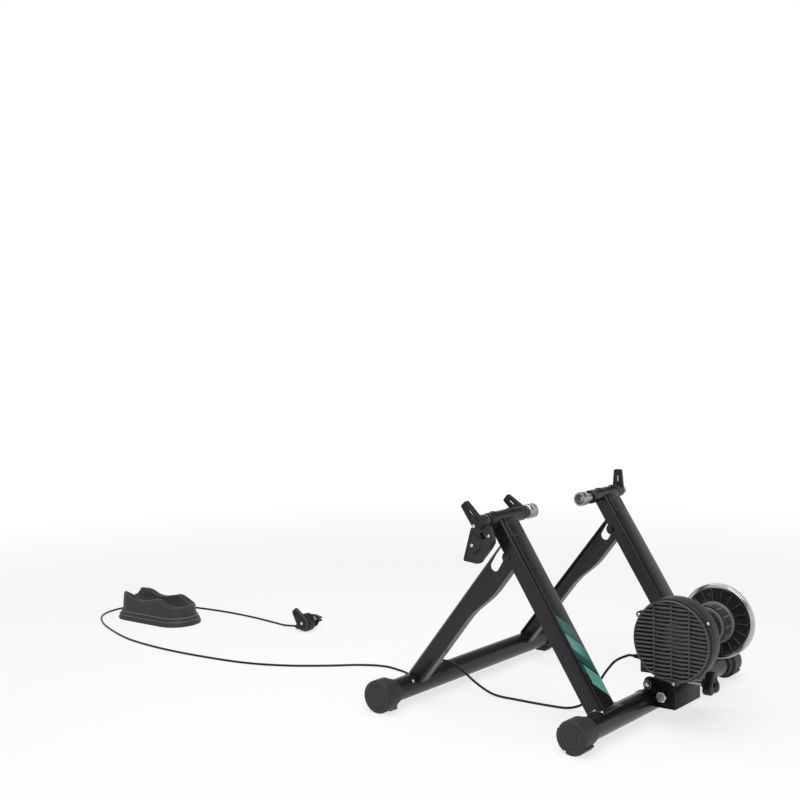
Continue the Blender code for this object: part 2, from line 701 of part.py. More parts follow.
def wing(kit, name, turn, inner, depth, side, finish, body, boss=0.003, blind=False):
    """A wing nut: slotted wing with a sunk outer face, and a hub round the spindle."""
    inner, outer = side * inner, side * (inner + depth)
    made = kit.piece(name, prism(wing_outline(turn, 0), *sorted((inner, outer))), finish, body)
    sunk = sorted((outer - side * 0.0014, outer + side * 0.002))
    kit.cut(made, prism(wing_outline(turn, 0.0022), *sunk), body)
    way = Vector((math.cos(math.radians(turn)), math.sin(math.radians(turn))))
    first = WING_REACH - 0.006 - WING_SLOT_WIDTH / 2
    second = first - WING_SLOT_LENGTH + WING_SLOT_WIDTH
    ends = [(AXLE.x + way.x * r, AXLE.z + way.y * r) for r in (first, second)]
    through = sorted((inner - side * 0.002, outer + side * 0.002))
    kit.cut(made, prism(slot(*ends, WING_SLOT_WIDTH / 2, 4), *through), body)
    hub_top = outer + side * boss
    root = outer - side * 0.003
    kit.join(made, rod(AXLE, HUB_R - 0.0032, *sorted((root, hub_top)), 20), body)
    bore_end = side * (SPINDLE_LEFT_END + GAP) if blind else hub_top + side * 0.002
    bore = sorted((inner - side * 0.002, bore_end))
    kit.cut(made, rod(AXLE, SPINDLE_R + GAP, *bore, 20), body)


def lever_outline(share):
    """Side view of the clamp lever below the spindle, drawn in towards its middle by share."""
    points = circle((0, 0), HUB_R, 20)
    points += arc((0.026, -0.063), 0.012, 200, 20, 6)
    points += arc((0.004, -0.064), 0.012, 180, 290, 5)
    points += [(-0.0215, -0.040), (-0.0205, -0.022), (0.0215, -0.026)]
    middle = Vector((0.004, -0.034))
    placed = [middle + (Vector(p) - middle) * share for p in hull(points)]
    return [(AXLE.x + p.x, AXLE.z + p.y) for p in placed]


def clamp_lever(kit, finish):
    made = kit.piece("clamp_lever", prism(lever_outline(1), LEVER_IN, LEVER_OUT), finish,
                     "clamp_lever")
    kit.soften(made, 0.004, 1, 60)
    kit.cut(made, prism(lever_outline(0.84), LEVER_IN - 0.002, LEVER_OUT - LEVER_WALL),
            "clamp_lever")
    kit.join(made, rod(AXLE, SPINDLE_R + 0.004, LEVER_IN, LEVER_OUT - 0.001, 20), "clamp_lever")
    kit.cut(made, rod(AXLE, SPINDLE_R + RUNNING_GAP, LEVER_IN - 0.01, LEVER_OUT + 0.01, 20),
            "clamp_lever")


# Resistance unit

def bracket_outline():
    points = circle((STOP_X, STOP_Z), STOP_R + 0.0042, 16)
    points += circle((WEB_BACK + 0.0185, PIVOT_Z + 0.011), 0.0185, 20)
    points += [(WEB_BACK, CAP_R - 0.005), (REAR_TUBE_X - 0.003, CAP_R - 0.005)]
    return hull(points)


def unit_bracket(kit, finish):
    """Two cheeks behind the rear tube, with a web at the back that carries the screw."""
    made = kit.piece("unit_bracket", prism(bracket_outline(), BRACKET_FAR, BRACKET_NEAR), finish)
    low, high = BRACKET_FAR + BRACKET_T, BRACKET_NEAR - BRACKET_T
    inside = (WEB_BACK + BRACKET_T, low, 0.0)
    kit.cut(made, boxes([(inside, (REAR_TUBE_X + TUBE_R, high, STOP_Z + 2 * TUBE_R))]))
    wide = (BRACKET_FAR - OVER, BRACKET_NEAR + OVER)
    kit.cut(made, rod(REAR_TUBE, TUBE_R + GAP, *wide, 28))
    kit.cut(made, rod(PIVOT, PIVOT_R + GAP, *wide, 16))
    kit.cut(made, rod(Vector((STOP_X, 0, STOP_Z)), STOP_R + GAP, *wide, 16))
    hole = [(0, -OVER), (ROD_R + GAP, -OVER), (ROD_R + GAP, OVER), (0, OVER)]
    kit.cut(made, turned(hole, Vector((WEB_BACK, 0, KNOB_Z)), 16, (1, 0, 0)))


def pivot_parts(kit, zinc, steel):
    head = 0.0068
    bolt = kit.piece("pivot_bolt", hexagon(PIVOT, 0.018, BRACKET_NEAR + GAP,
                                           BRACKET_NEAR + GAP + head), zinc)
    kit.soften(bolt, 0.0008, 1, 50)
    kit.join(bolt, rod(PIVOT, PIVOT_R, BRACKET_FAR - 0.0085, BRACKET_NEAR + 0.002, 16))
    nut = kit.piece("pivot_nut", hexagon(PIVOT, 0.016, BRACKET_FAR - GAP - 0.0065,
                                         BRACKET_FAR - GAP), zinc)
    kit.cut(nut, rod(PIVOT, PIVOT_R + GAP, BRACKET_FAR - 2 * OVER, BRACKET_FAR + OVER, 16))
    kit.piece("pivot_spacer", pipe(PIVOT, PIVOT_R + GAP, 0.009, YOKE_NEAR + GAP,
                                   BRACKET_NEAR - BRACKET_T - GAP, 16), steel)
    kit.piece("bracket_barrel", rod(Vector((STOP_X, 0, STOP_Z)), STOP_R, BRACKET_FAR - 0.005,
                                    BRACKET_NEAR + 0.012, 16, LIP), steel)


def yoke(kit, finish):
    """Arms that hang the roller on the pivot, joined by a web along their rear edge."""
    low = hull(circle(flat(PIVOT), ARM_LOW_R, 12) + circle(flat(YOKE_MIDDLE), ARM_HIGH_R, 12))
    high = hull(circle(flat(YOKE_MIDDLE), ARM_HIGH_R, 12) + circle(flat(UNIT), YOKE_HEAD_R, 18))
    made = kit.piece("unit_yoke", prism(low, YOKE_FAR, YOKE_NEAR), finish, "unit")
    kit.join(made, prism(high, YOKE_FAR, YOKE_NEAR), "unit")
    ahead = 0.0036
    inside = (YOKE_FAR + YOKE_T, YOKE_NEAR - YOKE_T)
    kit.cut(made, prism([(x + ahead, z) for x, z in low], *inside), "unit")
    kit.cut(made, prism([(x + ahead, z) for x, z in high], *inside), "unit")
    reach = 1.5 * YOKE_HEAD_R
    front = [(UNIT_X + YOKE_HEAD_R * 2 / 3, UNIT_Z - 2 * reach), (UNIT_X + 2 * reach, UNIT_Z - 2 * reach),
             (UNIT_X + 2 * reach, UNIT_Z + reach), (UNIT_X - YOKE_HEAD_R / 3, UNIT_Z + reach)]
    kit.cut(made, prism(front, *inside), "unit")
    wide = (YOKE_FAR - OVER, YOKE_NEAR + OVER)
    kit.cut(made, rod(PIVOT, PIVOT_R + GAP, *wide, 16), "unit")
    kit.cut(made, rod(UNIT, SHAFT_R + 0.003, *wide, 16), "unit")


def drum_housing(kit, finish):
    """Turned cup of the magnet brake, with screw ears and the foot that takes the cable."""
    back, skin = DRUM_BACK, 0.0040
    edge = COVER_BACK - GAP
    hub = BEARING_R + 0.006
    profile = [(BEARING_R, back), (DRUM_R - 0.020, back), (DRUM_R - 0.006, back + 0.005),
               (DRUM_R, back + 0.015), (DRUM_R, edge - 0.006), (DRUM_R - 0.0020, edge - 0.004),
               (DRUM_R - 0.0020, edge), (DRUM_BORE_R, edge), (DRUM_BORE_R, back + 0.014),
               (DRUM_R - 0.022, back + skin), (hub, back + skin),
               (hub, back + BEARING_W + 0.0025), (BEARING_R, back + BEARING_W + 0.0025)]
    made = kit.piece("drum_housing", turned(profile, UNIT, 32), finish, "unit")
    reach = DRUM_R + EAR_R - 0.0045
    for turn in (30, 150, 270):
        way = math.radians(turn)
        ear = UNIT + Vector((math.cos(way), 0, math.sin(way))) * reach
        kit.join(made, rod(ear, EAR_R, edge - 0.020, edge - 0.0055, 10), "unit")
    foot = [(FOOT_FRONT, FOOT_LOW), (FOOT_FRONT - 0.022, FOOT_LOW + 0.0005)]
    foot += arc(flat(UNIT), FOOT_ROOT_R, FOOT_LOW_TURN, FOOT_HIGH_TURN, 5)
    foot.append((FOOT_FRONT, FOOT_HIGH))
    kit.join(made, prism(foot, back + 0.016, edge - 0.010), "unit")


def grille_cutter():
    """Rows of openings inside the grille's circle, broken by three upright ribs."""
    pitch = 2 * GRILLE_R / GRILLE_ROWS
    columns = [-GRILLE_R, -0.55 * GRILLE_R, 0.0, 0.55 * GRILLE_R, GRILLE_R]
    spans = []
    for row in range(GRILLE_ROWS):
        height = -GRILLE_R + pitch * (row + 0.5)
        reach = abs(height) + GRILLE_GAP / 2
        chord = math.sqrt(max(0.0, GRILLE_R ** 2 - reach ** 2))
        for left, right in zip(columns, columns[1:]):
            low = max(left + GRILLE_RIB / 2, -chord)
            high = min(right - GRILLE_RIB / 2, chord)
            if high - low > 2 * GRILLE_GAP:
                spans.append(((UNIT_X + low, COVER_BACK - 0.004, UNIT_Z + height - GRILLE_GAP / 2),
                              (UNIT_X + high, DRUM_FACE + 0.004, UNIT_Z + height + GRILLE_GAP / 2)))
    return boxes(spans)


def grille_cover(kit, finish):
    """Louvred cover of the drum."""
    rim = DRUM_R - 0.0028
    profile = [(0, COVER_BACK), (rim, COVER_BACK), (rim, DRUM_FACE - 0.002),
               (rim - 0.002, DRUM_FACE), (GRILLE_R + 0.002, DRUM_FACE),
               (GRILLE_R + 0.0005, DRUM_FACE - 0.0015), (0, DRUM_FACE - 0.0015)]
    made = kit.piece("grille_cover", turned(profile, UNIT, 32), finish, "unit")
    kit.cut(made, grille_cutter(), "unit")


def neck_housing(kit, finish):
    """Housing towards the flywheel, with rows of windows round it."""
    bore, back = NECK_R - NECK_WALL, NECK_IN - BEARING_W - 0.0025
    first, last = NECK_IN - 0.0085, NECK_OUT + 0.006
    pitch = (last - first) / NECK_WINDOW_COLUMNS
    edges = []
    for column in range(NECK_WINDOW_COLUMNS):
        edges += [first + pitch * (column + share) for share in (0.14, 0.86)]
    outer = [(BEARING_R, NECK_IN), (NECK_R - 0.006, NECK_IN), (NECK_R, NECK_IN - 0.006)]
    inner = [(BEARING_R, back), (BEARING_R + 0.004, back), (bore, NECK_IN - 0.007)]
    lead = len(outer)
    outer += [(NECK_R, y) for y in edges]
    inner += [(bore, y) for y in edges]
    outer += [(NECK_R + 0.003, NECK_OUT + 0.004), (NECK_R + 0.003, NECK_OUT)]
    inner += [(bore, NECK_OUT + 0.004), (bore, NECK_OUT)]
    step = 2 * math.pi / NECK_WINDOW_ROWS
    turns = []
    for row in range(NECK_WINDOW_ROWS):
        turns += [step * (row + 0.18), step * (row + 0.82)]

    def is_window(station, turn):
        column, odd = divmod(station - lead, 2)
        return turn % 2 == 0 and not odd and 0 <= column < NECK_WINDOW_COLUMNS

    kit.piece("neck_housing", windowed_shell(outer, inner, turns, is_window, UNIT), finish,
              "unit")


def rolling_parts(kit, finishes):
    """Bearings in the housings; shaft, roller, brake disc and flywheel that spin in them."""
    steel, alloy, black, chrome = finishes
    bore = SHAFT_R + GAP
    seat = BEARING_R - GAP
    near, far = DRUM_BACK + 0.0015, NECK_IN - 0.0015
    kit.piece("bearing_near", pipe(UNIT, bore, seat, near, near + BEARING_W, 20), steel, "unit")
    kit.piece("bearing_far", pipe(UNIT, bore, seat, far - BEARING_W, far, 20), steel, "unit")
    kit.piece("main_shaft", rod(UNIT, SHAFT_R, SHAFT_FAR, SHAFT_NEAR, 20, 0.0008), steel,
              "rotor")
    roller = [(bore, ROLLER_FAR), (ROLLER_R - 0.001, ROLLER_FAR), (ROLLER_R, ROLLER_FAR + 0.001),
              (ROLLER_R, ROLLER_NEAR - 0.001), (ROLLER_R - 0.001, ROLLER_NEAR),
              (bore, ROLLER_NEAR)]
    kit.piece("roller", turned(roller, UNIT, 24), alloy, "rotor")
    disc = pipe(UNIT, bore, ROTOR_R, ROTOR_Y, ROTOR_Y + ROTOR_T, 28)
    kit.piece("brake_disc", disc, alloy, "rotor")
    flywheel(kit, black, chrome, bore)
    nut = kit.piece("flywheel_nut", hexagon(UNIT, 0.017, FLYWHEEL_OUT - GAP - NUT_T,
                                            FLYWHEEL_OUT - GAP), steel, "rotor")
    kit.cut(nut, rod(UNIT, bore, SHAFT_FAR - GAP, FLYWHEEL_OUT + 0.01, 20), "rotor")


def flywheel(kit, black, chrome, bore):
    """Dished black web inside a bright rim."""
    inner = FLYWHEEL_R - FLYWHEEL_RIM
    middle = (FLYWHEEL_IN + FLYWHEEL_OUT) / 2
    web = [(bore, FLYWHEEL_IN + 0.002), (0.0125, FLYWHEEL_IN + 0.002),
           (0.0165, middle + 0.004), (inner - 0.009, middle + 0.002), (inner, FLYWHEEL_IN - 0.001),
           (inner, FLYWHEEL_OUT + 0.001), (inner - 0.009, middle - 0.004),
           (0.0165, middle - 0.003), (0.0125, FLYWHEEL_OUT), (bore, FLYWHEEL_OUT)]
    made = kit.piece("flywheel_web", turned(web, UNIT, 32), black, "rotor")
    kit.join(made, flywheel_ribs(middle, inner), "rotor")
    rim = [(inner + GAP, FLYWHEEL_IN), (FLYWHEEL_R - 0.001, FLYWHEEL_IN),
           (FLYWHEEL_R, FLYWHEEL_IN - 0.001), (FLYWHEEL_R, FLYWHEEL_OUT + 0.001),
           (FLYWHEEL_R - 0.001, FLYWHEEL_OUT), (inner + GAP, FLYWHEEL_OUT)]
    kit.piece("flywheel_rim", turned(rim, UNIT, 32), chrome, "rotor")


def flywheel_ribs(middle, inner):
    """Radial ribs that stand in the dish of the web, on the side of the neck."""
    low = (FLYWHEEL_RIB_IN, middle, -FLYWHEEL_RIB_T / 2)
    high = (inner - LIP, FLYWHEEL_IN - 0.0015, FLYWHEEL_RIB_T / 2)
    mesh = boxes([(low, high)] * FLYWHEEL_RIBS)
    for i in range(FLYWHEEL_RIBS):
        turn = Matrix.Rotation(2 * math.pi * i / FLYWHEEL_RIBS, 3, "Y")
        bmesh.ops.rotate(mesh, verts=mesh.verts[8 * i:8 * i + 8], cent=(0, 0, 0), matrix=turn)
    bmesh.ops.translate(mesh, verts=mesh.verts, vec=UNIT)
    return mesh


def magnet_carrier(kit, finish):
    """Ring that turns in the drum's bore, with the magnets standing on it."""
    outer = DRUM_BORE_R - RUNNING_GAP
    plate = pipe(UNIT, CARRIER_BORE_R, outer, CARRIER_Y, CARRIER_Y + CARRIER_T, 28)
    made = kit.piece("magnet_carrier", plate, finish, "magnets")
    for i in range(MAGNETS):
        way = 2 * math.pi * i / MAGNETS
        place = UNIT + Vector((math.cos(way), 0, math.sin(way))) * MAGNET_PATH_R
        kit.join(made, rod(place, MAGNET_R, CARRIER_Y - MAGNET_STANDS, CARRIER_Y + CARRIER_T / 2, 8),
                 "magnets")


def gland(kit, finish):
    profile = [(0, 0), (GLAND_R, 0), (GLAND_R, 0.004), (GLAND_R - 0.0015, 0.006),
               (CABLE_R + 0.0012, GLAND_LENGTH), (0, GLAND_LENGTH)]
    place = Vector((FOOT_FRONT + GAP, GLAND_Y, GLAND_Z))
    kit.piece("cable_gland", turned(profile, place, 16, (1, 0, 0)), finish, "unit")


def knob_outline(reach, lobe):
    """Three-lobed hand knob seen along its screw."""
    points = []
    steps = 21
    for i in range(steps):
        turn = 2 * math.pi * i / steps
        radius = reach - lobe * (1 - math.cos(3 * turn)) / 2
        points.append((radius * math.cos(turn), radius * math.sin(turn)))
    return points


def tension_parts(kit, black, zinc):
    """Screw through the bracket's web; its tip pushes the yoke, its knob is at the back."""
    rings = []
    for x, reach in ((KNOB_FRONT, KNOB_R - 0.003), (KNOB_FRONT - 0.003, KNOB_R),
                     (KNOB_REAR + 0.002, KNOB_R), (KNOB_REAR, KNOB_R - 0.002)):
        rings.append([(x, y, KNOB_Z + z) for y, z in knob_outline(reach, 0.0055)])
    knob = kit.piece("tension_knob", loft(rings), black, "tension_knob")
    boss = [(0, -0.008), (0.0085, -0.008), (0.0085, 0.008), (0, 0.008)]
    kit.join(knob, turned(boss, Vector((KNOB_FRONT, 0, KNOB_Z)), 20, (1, 0, 0)), "tension_knob")
    sink = [(0, -0.004), (0.0055, -0.004), (0.0055, 0.004), (0, 0.004)]
    kit.cut(knob, turned(sink, Vector((KNOB_REAR, 0, KNOB_Z)), 16, (1, 0, 0)), "tension_knob")
    depth = KNOB_FRONT + 0.012 - KNOB_X
    bore = [(0, -depth), (ROD_R + GAP, -depth), (ROD_R + GAP, depth), (0, depth)]
    kit.cut(knob, turned(bore, Vector((KNOB_FRONT + 0.008, 0, KNOB_Z)), 16, (1, 0, 0)),
            "tension_knob")
    length = ROD_TIP - (KNOB_FRONT + 0.008 - depth + GAP)
    profile = [(0, 0), (ROD_R * 0.5, 0), (ROD_R, -0.0015), (ROD_R, -length), (0, -length)]
    kit.piece("tension_screw", turned(profile, Vector((ROD_TIP, 0, KNOB_Z)), 16, (1, 0, 0)),
              zinc, "tension_screw")


# Riser block

def block_ring(height, inset):
    outline = rounded_box(BLOCK_LENGTH / 2 - inset, BLOCK_WIDTH / 2 - inset,
                          BLOCK_CORNER - inset)
    return [(BLOCK_X + x, y, height) for x, y in outline]


def wave_points():
    """Side view of the block's top, as a smooth line through the heights in WAVE."""
    knots = [Vector((BLOCK_X + share * BLOCK_LENGTH / 2, BLOCK_HEIGHT - drop))
             for share, drop in WAVE]
    knots = [knots[0] * 2 - knots[1]] + knots + [knots[-1] * 2 - knots[-2]]
    points = []
    for i in range(1, len(knots) - 2):
        points += [blend(*knots[i - 1:i + 3], step / 2) for step in range(2)]
    return [(p.x, p.y) for p in points + [knots[-2]]]


def riser_block(kit, finish):
    """Two-tier block with a wavy top and a round cradle, hollowed from below between ribs."""
    steps = ((0, 0), (0.005, 0), (SKIRT_HEIGHT, 0.007), (SKIRT_HEIGHT + 0.001, 0.0105),
             (BLOCK_HEIGHT - 0.004, 0.014), (BLOCK_HEIGHT, 0.019))
    made = kit.piece("riser_block", loft([block_ring(*step) for step in steps]), finish)
    above = BLOCK_HEIGHT + OVER
    ends = [(BLOCK_X + WAVE[-1][0] * BLOCK_LENGTH / 2, above),
            (BLOCK_X + WAVE[0][0] * BLOCK_LENGTH / 2, above)]
    kit.cut(made, prism(wave_points() + ends, -BLOCK_WIDTH / 2, BLOCK_WIDTH / 2))
    half = CRADLE_WIDTH / 2
    centre = Vector((BLOCK_X, 0, CRADLE_LOW + CRADLE_R))
    cradle = [(0, -half), (CRADLE_R - 0.014, -half), (CRADLE_R - 0.004, 0.006 - half),
              (CRADLE_R, -0.010), (CRADLE_R, 0.010), (CRADLE_R - 0.004, half - 0.006),
              (CRADLE_R - 0.014, half), (0, half)]
    kit.cut(made, turned(cradle, centre, 80))
    roof = CRADLE_LOW - 0.005
    wide, narrow = BLOCK_WIDTH / 2 - 0.016, BLOCK_WIDTH / 2 - 0.032
    near, far = 0.15 * BLOCK_LENGTH, BLOCK_LENGTH / 2 - 0.020
    beyond = near + BLOCK_RIB_T
    spans = (((-near, -wide), (near, wide)), ((-far, -narrow), (-beyond, narrow)),
             ((beyond, -narrow), (far, narrow)))
    kit.cut(made, boxes([((BLOCK_X + a, b, -0.002), (BLOCK_X + c, d, roof))
                         for (a, b), (c, d) in spans]))


# Remote with its thumb lever

def remote(kit, black, zinc):
    body = kit.piece("remote_body", rod(REMOTE, REMOTE_BODY_R, BODY_IN, BODY_IN + BODY_T, 28,
                                        0.0015), black)
    socket = [(0, 0), (0.0048, 0), (0.0042, SOCKET_END - REMOTE_X - 0.012),
              (0, SOCKET_END - REMOTE_X - 0.012)]
    kit.join(body, turned(socket, Vector((REMOTE_X + 0.012, BODY_IN + BODY_T / 2, SOCKET_Z)), 16,
                          (1, 0, 0)))
    band_parts(kit, black, zinc)
    thumb = kit.piece("thumb_lever", prism(thumb_outline(), THUMB_IN, THUMB_IN + THUMB_T), black,
                      "thumb_lever")
    kit.soften(thumb, 0.0015, 1, 60)


def thumb_outline():
    """Round hub with a thumb paddle that points up and forwards."""
    spin = Matrix.Rotation(math.radians(50), 2)
    points = circle((0, 0), 0.0180, 24)
    points += arc((0.034, 0.004), 0.0055, 0, 90, 3) + arc((0.034, -0.005), 0.0055, 270, 360, 3)
    placed = [spin @ Vector(p) for p in hull(points)]
    return [(REMOTE.x + p.x, REMOTE.z + p.y) for p in placed]


def band_parts(kit, black, zinc):
    """Split clamp band and the screw that closes it."""
    half = BAND_WIDTH / 2
    ring = [(BAR_R, -half), (BAND_R, -half), (BAND_R, half), (BAR_R, half)]
    band = kit.piece("remote_band", turned(ring, REMOTE, 28, (1, 0, 0)), black)
    ear = BAND_R + 0.010
    kit.join(band, boxes([((REMOTE_X - half + 0.0005, REMOTE_Y - ear, REMOTE.z - 0.0055),
                           (REMOTE_X + half - 0.0005, REMOTE_Y - BAR_R - 0.0012,
                            REMOTE.z + 0.0055))]))
    kit.cut(band, boxes([((REMOTE_X - 0.02, REMOTE_Y - ear - 0.01, REMOTE.z - 0.001),
                          (REMOTE_X + 0.02, REMOTE_Y - BAR_R + 0.004, REMOTE.z + 0.001))]))
    place = Vector((REMOTE_X, REMOTE_Y - BAND_R - 0.0045, REMOTE.z))
    hole = [(0, -0.02), (0.0023, -0.02), (0.0023, 0.02), (0, 0.02)]
    kit.cut(band, turned(hole, place, 12, (0, 0, 1)))
    head = 0.0055 + GAP
    screw = [(0, -head - 0.002), (0.0034, -head - 0.002), (0.0034, -head), (0.0020, -head),
             (0.0020, head), (0.0034, head), (0.0034, head + 0.0025), (0, head + 0.0025)]
    kit.piece("remote_screw", turned(screw, place, 12, (0, 0, 1)), zinc)


# Shift cable

FLOOR = CABLE_R + 0.0002
OVER_TUBE = CAP_R + TUBE_R + CABLE_R + GAP
ROUTE = (
    (CABLE_START.x + 0.012, GLAND_Y, GLAND_Z - 0.0013),
    (CABLE_START.x + 0.037, GLAND_Y + 0.0015, GLAND_Z - 0.0150), (-0.143, 0.077, 0.076),
    (-0.124, 0.079, 0.044), (-0.103, 0.082, 0.017), (-0.074, 0.085, 0.0045),
    (-0.035, 0.088, FLOOR), (0.035, 0.090, FLOOR), (0.090, 0.091, 0.0045),
    (0.130, 0.092, 0.0205), (0.163, 0.093, 0.0415), (0.188, 0.094, 0.0530),
    (0.206, 0.094, OVER_TUBE), (0.224, 0.093, 0.0515), (0.250, 0.088, 0.0335),
    (0.280, 0.079, 0.0125), (0.312, 0.066, 0.0042), (0.350, 0.050, FLOOR),
    (0.400, 0.042, FLOOR), (0.450, 0.062, FLOOR), (0.505, 0.106, FLOOR),
    (0.575, 0.152, FLOOR), (0.665, 0.186, FLOOR), (0.784, 0.201, FLOOR),
    (0.910, 0.203, FLOOR), (1.036, 0.188, FLOOR), (1.144, 0.152, FLOOR),
    (1.235, 0.108, FLOOR), (1.298, 0.056, FLOOR), (1.322, -0.008, FLOOR),
    (1.306, -0.070, FLOOR), (1.252, -0.112, FLOOR), (1.165, -0.134, FLOOR),
    (1.060, -0.142, FLOOR), (0.960, -0.136, FLOOR), (0.880, -0.124, FLOOR),
    (0.835, -0.113, 0.0040),
)


def blend(before, start, end, after, share):
    """Point on a Catmull-Rom curve between start and end."""
    square, cube = share ** 2, share ** 3
    return 0.5 * (2 * start + (end - before) * share
                  + (2 * before - 5 * start + 4 * end - after) * square
                  + (3 * start - before - 3 * end + after) * cube)


def cable_points():
    """Points along the cable: close together near the unit, wider apart on the floor."""
    straight = 2 * CABLE_R
    socket = Vector((SOCKET_END + GAP, BODY_IN + BODY_T / 2, SOCKET_Z))
    lead_in = [CABLE_START, CABLE_START + Vector((straight, 0, 0))]
    lead_out = [socket + Vector((straight, 0, 0)), socket]
    knots = lead_in + [Vector(p) for p in ROUTE] + lead_out
    knots = [knots[0] * 2 - knots[1]] + knots + [knots[-1] * 2 - knots[-2]]
    fine = []
    for i in range(1, len(knots) - 2):
        fine += [blend(*knots[i - 1:i + 3], step / 24) for step in range(24)]
    fine.append(knots[-2])
    points = [fine[0]]
    run = 0.0
    for before, here in zip(fine, fine[1:]):
        run += (here - before).length
        spacing = 0.0155 if here.x < 0.36 and here.y > 0 else 0.050
        if run >= spacing:
            points.append(here)
            run = 0.0
    ends = [CABLE_START + Vector((straight, 0, 0)), socket + Vector((straight, 0, 0))]
    middle = [p for p in points[1:] if min((p - e).length for e in ends) > straight]
    middle = [p for p in middle if (p - socket).length > 2 * straight]
    return [fine[0], ends[0]] + middle + [ends[1], socket]


def shift_cable(kit, finish):
    points = cable_points()
    curve = bpy.data.curves.new("shift_cable", "CURVE")
    curve.dimensions = "3D"
    curve.bevel_depth = CABLE_R
    curve.bevel_resolution = 2
    curve.use_fill_caps = True
    line = curve.splines.new("POLY")
    line.points.add(len(points) - 1)
    for spot, point in zip(line.points, points):
        spot.co = (*point, 1)
    curve.materials.append(finish)
    made = bpy.data.objects.new("shift_cable", curve)
    bpy.context.scene.collection.objects.link(made)
    made.parent = kit.empties["stand"]
    length = sum((b - a).length for a, b in zip(points, points[1:]))
    print("cable length", round(length, 3), "points", len(points))


def build():
    clear_scene()
    kit = Kit(add_empties())
    steel_paint = paint("stand_paint", (0.035, 0.036, 0.038), 0.42)
    leg_paint = paint("leg_paint", (0.045, 0.045, 0.048), 0.40)
    cap_plastic = paint("cap_plastic", (0.040, 0.040, 0.042), 0.60)
    black = paint("black_plastic", (0.025, 0.025, 0.026), 0.48)
    grey = paint("drum_plastic", (0.060, 0.060, 0.064), 0.50)
    zinc = paint("zinc", (0.60, 0.60, 0.58), 0.32, 1.0)
    steel = paint("steel", (0.35, 0.35, 0.36), 0.35, 1.0)
    alloy = paint("alloy", (0.66, 0.67, 0.68), 0.30, 1.0)
    chrome = paint("chrome", (0.80, 0.80, 0.81), 0.12, 1.0)
    web_paint = paint("flywheel_paint", (0.015, 0.015, 0.017), 0.35)
    cable_skin = paint("cable_skin", (0.012, 0.012, 0.013), 0.45)

    floor_tube(kit, "rear_tube", REAR_TUBE, steel_paint, "stand")
    floor_tube(kit, "front_tube", FRONT_TUBE, leg_paint, "front_frame")
    for word, side in (("left", 1), ("right", -1)):
        upright(kit, "upright_" + word, side, steel_paint)
        saddle(kit, "saddle_" + word, side, steel_paint)
        fold_pin(kit, "fold_pin_" + word, side, steel)
        front_leg(kit, "front_leg_" + word, side, leg_paint)
        front_cap(kit, "front_cap_" + word, side, cap_plastic)
        levelling_foot(kit, "levelling_foot_" + word, side, cap_plastic)
        sleeve(kit, "sleeve_" + word, side, steel_paint)
        axle_cup(kit, "axle_cup_" + word, side, steel, word + "_spindle")
    spindle(kit, "spindle_left", 1, SPINDLE_LEFT_END, steel, "left_spindle")
    spindle(kit, "spindle_right", -1, SPINDLE_RIGHT_END, steel, "right_spindle")
    clamp_lever(kit, black)
    wing(kit, "wing_nut_left", 45, WING_NUT_IN, WING_T, 1, black, "left_wing_nut", blind=True)
    wing(kit, "wing_ring_left", 45, RING_IN, RING_T, 1, black, "left_wing_ring", boss=0)
    wing(kit, "wing_nut_right", 90, SLEEVE_OUT + RUNNING_GAP, WING_T, -1, black,
         "right_wing_nut")

    unit_bracket(kit, steel_paint)
    pivot_parts(kit, zinc, steel_paint)
    yoke(kit, steel_paint)
    drum_housing(kit, grey)
    grille_cover(kit, grey)
    neck_housing(kit, grey)
    rolling_parts(kit, (steel, alloy, web_paint, chrome))
    magnet_carrier(kit, black)
    gland(kit, black)
    tension_parts(kit, black, zinc)

    riser_block(kit, cap_plastic)
    remote(kit, black, zinc)
    shift_cable(kit, cable_skin)


build()
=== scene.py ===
"""Looks of the bike trainer: finer shapes, finishes, floor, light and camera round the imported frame."""
import json
import math

import bmesh
import bpy
from mathutils import Matrix, Vector

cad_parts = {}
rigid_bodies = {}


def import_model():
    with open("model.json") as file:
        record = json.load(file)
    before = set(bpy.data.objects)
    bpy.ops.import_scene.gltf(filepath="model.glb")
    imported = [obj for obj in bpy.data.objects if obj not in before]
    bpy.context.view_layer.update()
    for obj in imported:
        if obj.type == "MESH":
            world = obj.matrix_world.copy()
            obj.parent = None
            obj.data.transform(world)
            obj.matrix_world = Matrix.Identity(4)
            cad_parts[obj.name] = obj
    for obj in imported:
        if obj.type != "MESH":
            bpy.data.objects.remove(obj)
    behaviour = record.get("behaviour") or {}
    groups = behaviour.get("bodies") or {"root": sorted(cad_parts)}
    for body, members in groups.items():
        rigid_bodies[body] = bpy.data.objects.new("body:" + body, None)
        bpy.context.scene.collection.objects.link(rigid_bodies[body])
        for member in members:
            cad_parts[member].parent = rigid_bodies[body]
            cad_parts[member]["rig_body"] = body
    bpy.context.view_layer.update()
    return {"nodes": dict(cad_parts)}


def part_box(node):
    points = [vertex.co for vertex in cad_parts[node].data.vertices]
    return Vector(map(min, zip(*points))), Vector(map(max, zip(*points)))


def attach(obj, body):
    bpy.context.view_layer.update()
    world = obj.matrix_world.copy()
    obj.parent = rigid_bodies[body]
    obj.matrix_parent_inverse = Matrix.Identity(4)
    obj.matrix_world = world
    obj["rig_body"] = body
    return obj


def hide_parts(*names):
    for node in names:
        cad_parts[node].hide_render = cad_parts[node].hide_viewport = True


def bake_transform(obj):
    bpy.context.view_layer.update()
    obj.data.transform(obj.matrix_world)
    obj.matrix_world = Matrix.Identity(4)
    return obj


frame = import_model()
scene = bpy.context.scene

X_AXIS = Vector((1, 0, 0))
Y_AXIS = Vector((0, 1, 0))
Z_AXIS = Vector((0, 0, 1))
BOTH_SIDES = (("left", 1), ("right", -1))

# Main places of the trainer, in metres. The clamps' axis lies SHIFT behind the frame's origin.

SHIFT = 0.45425


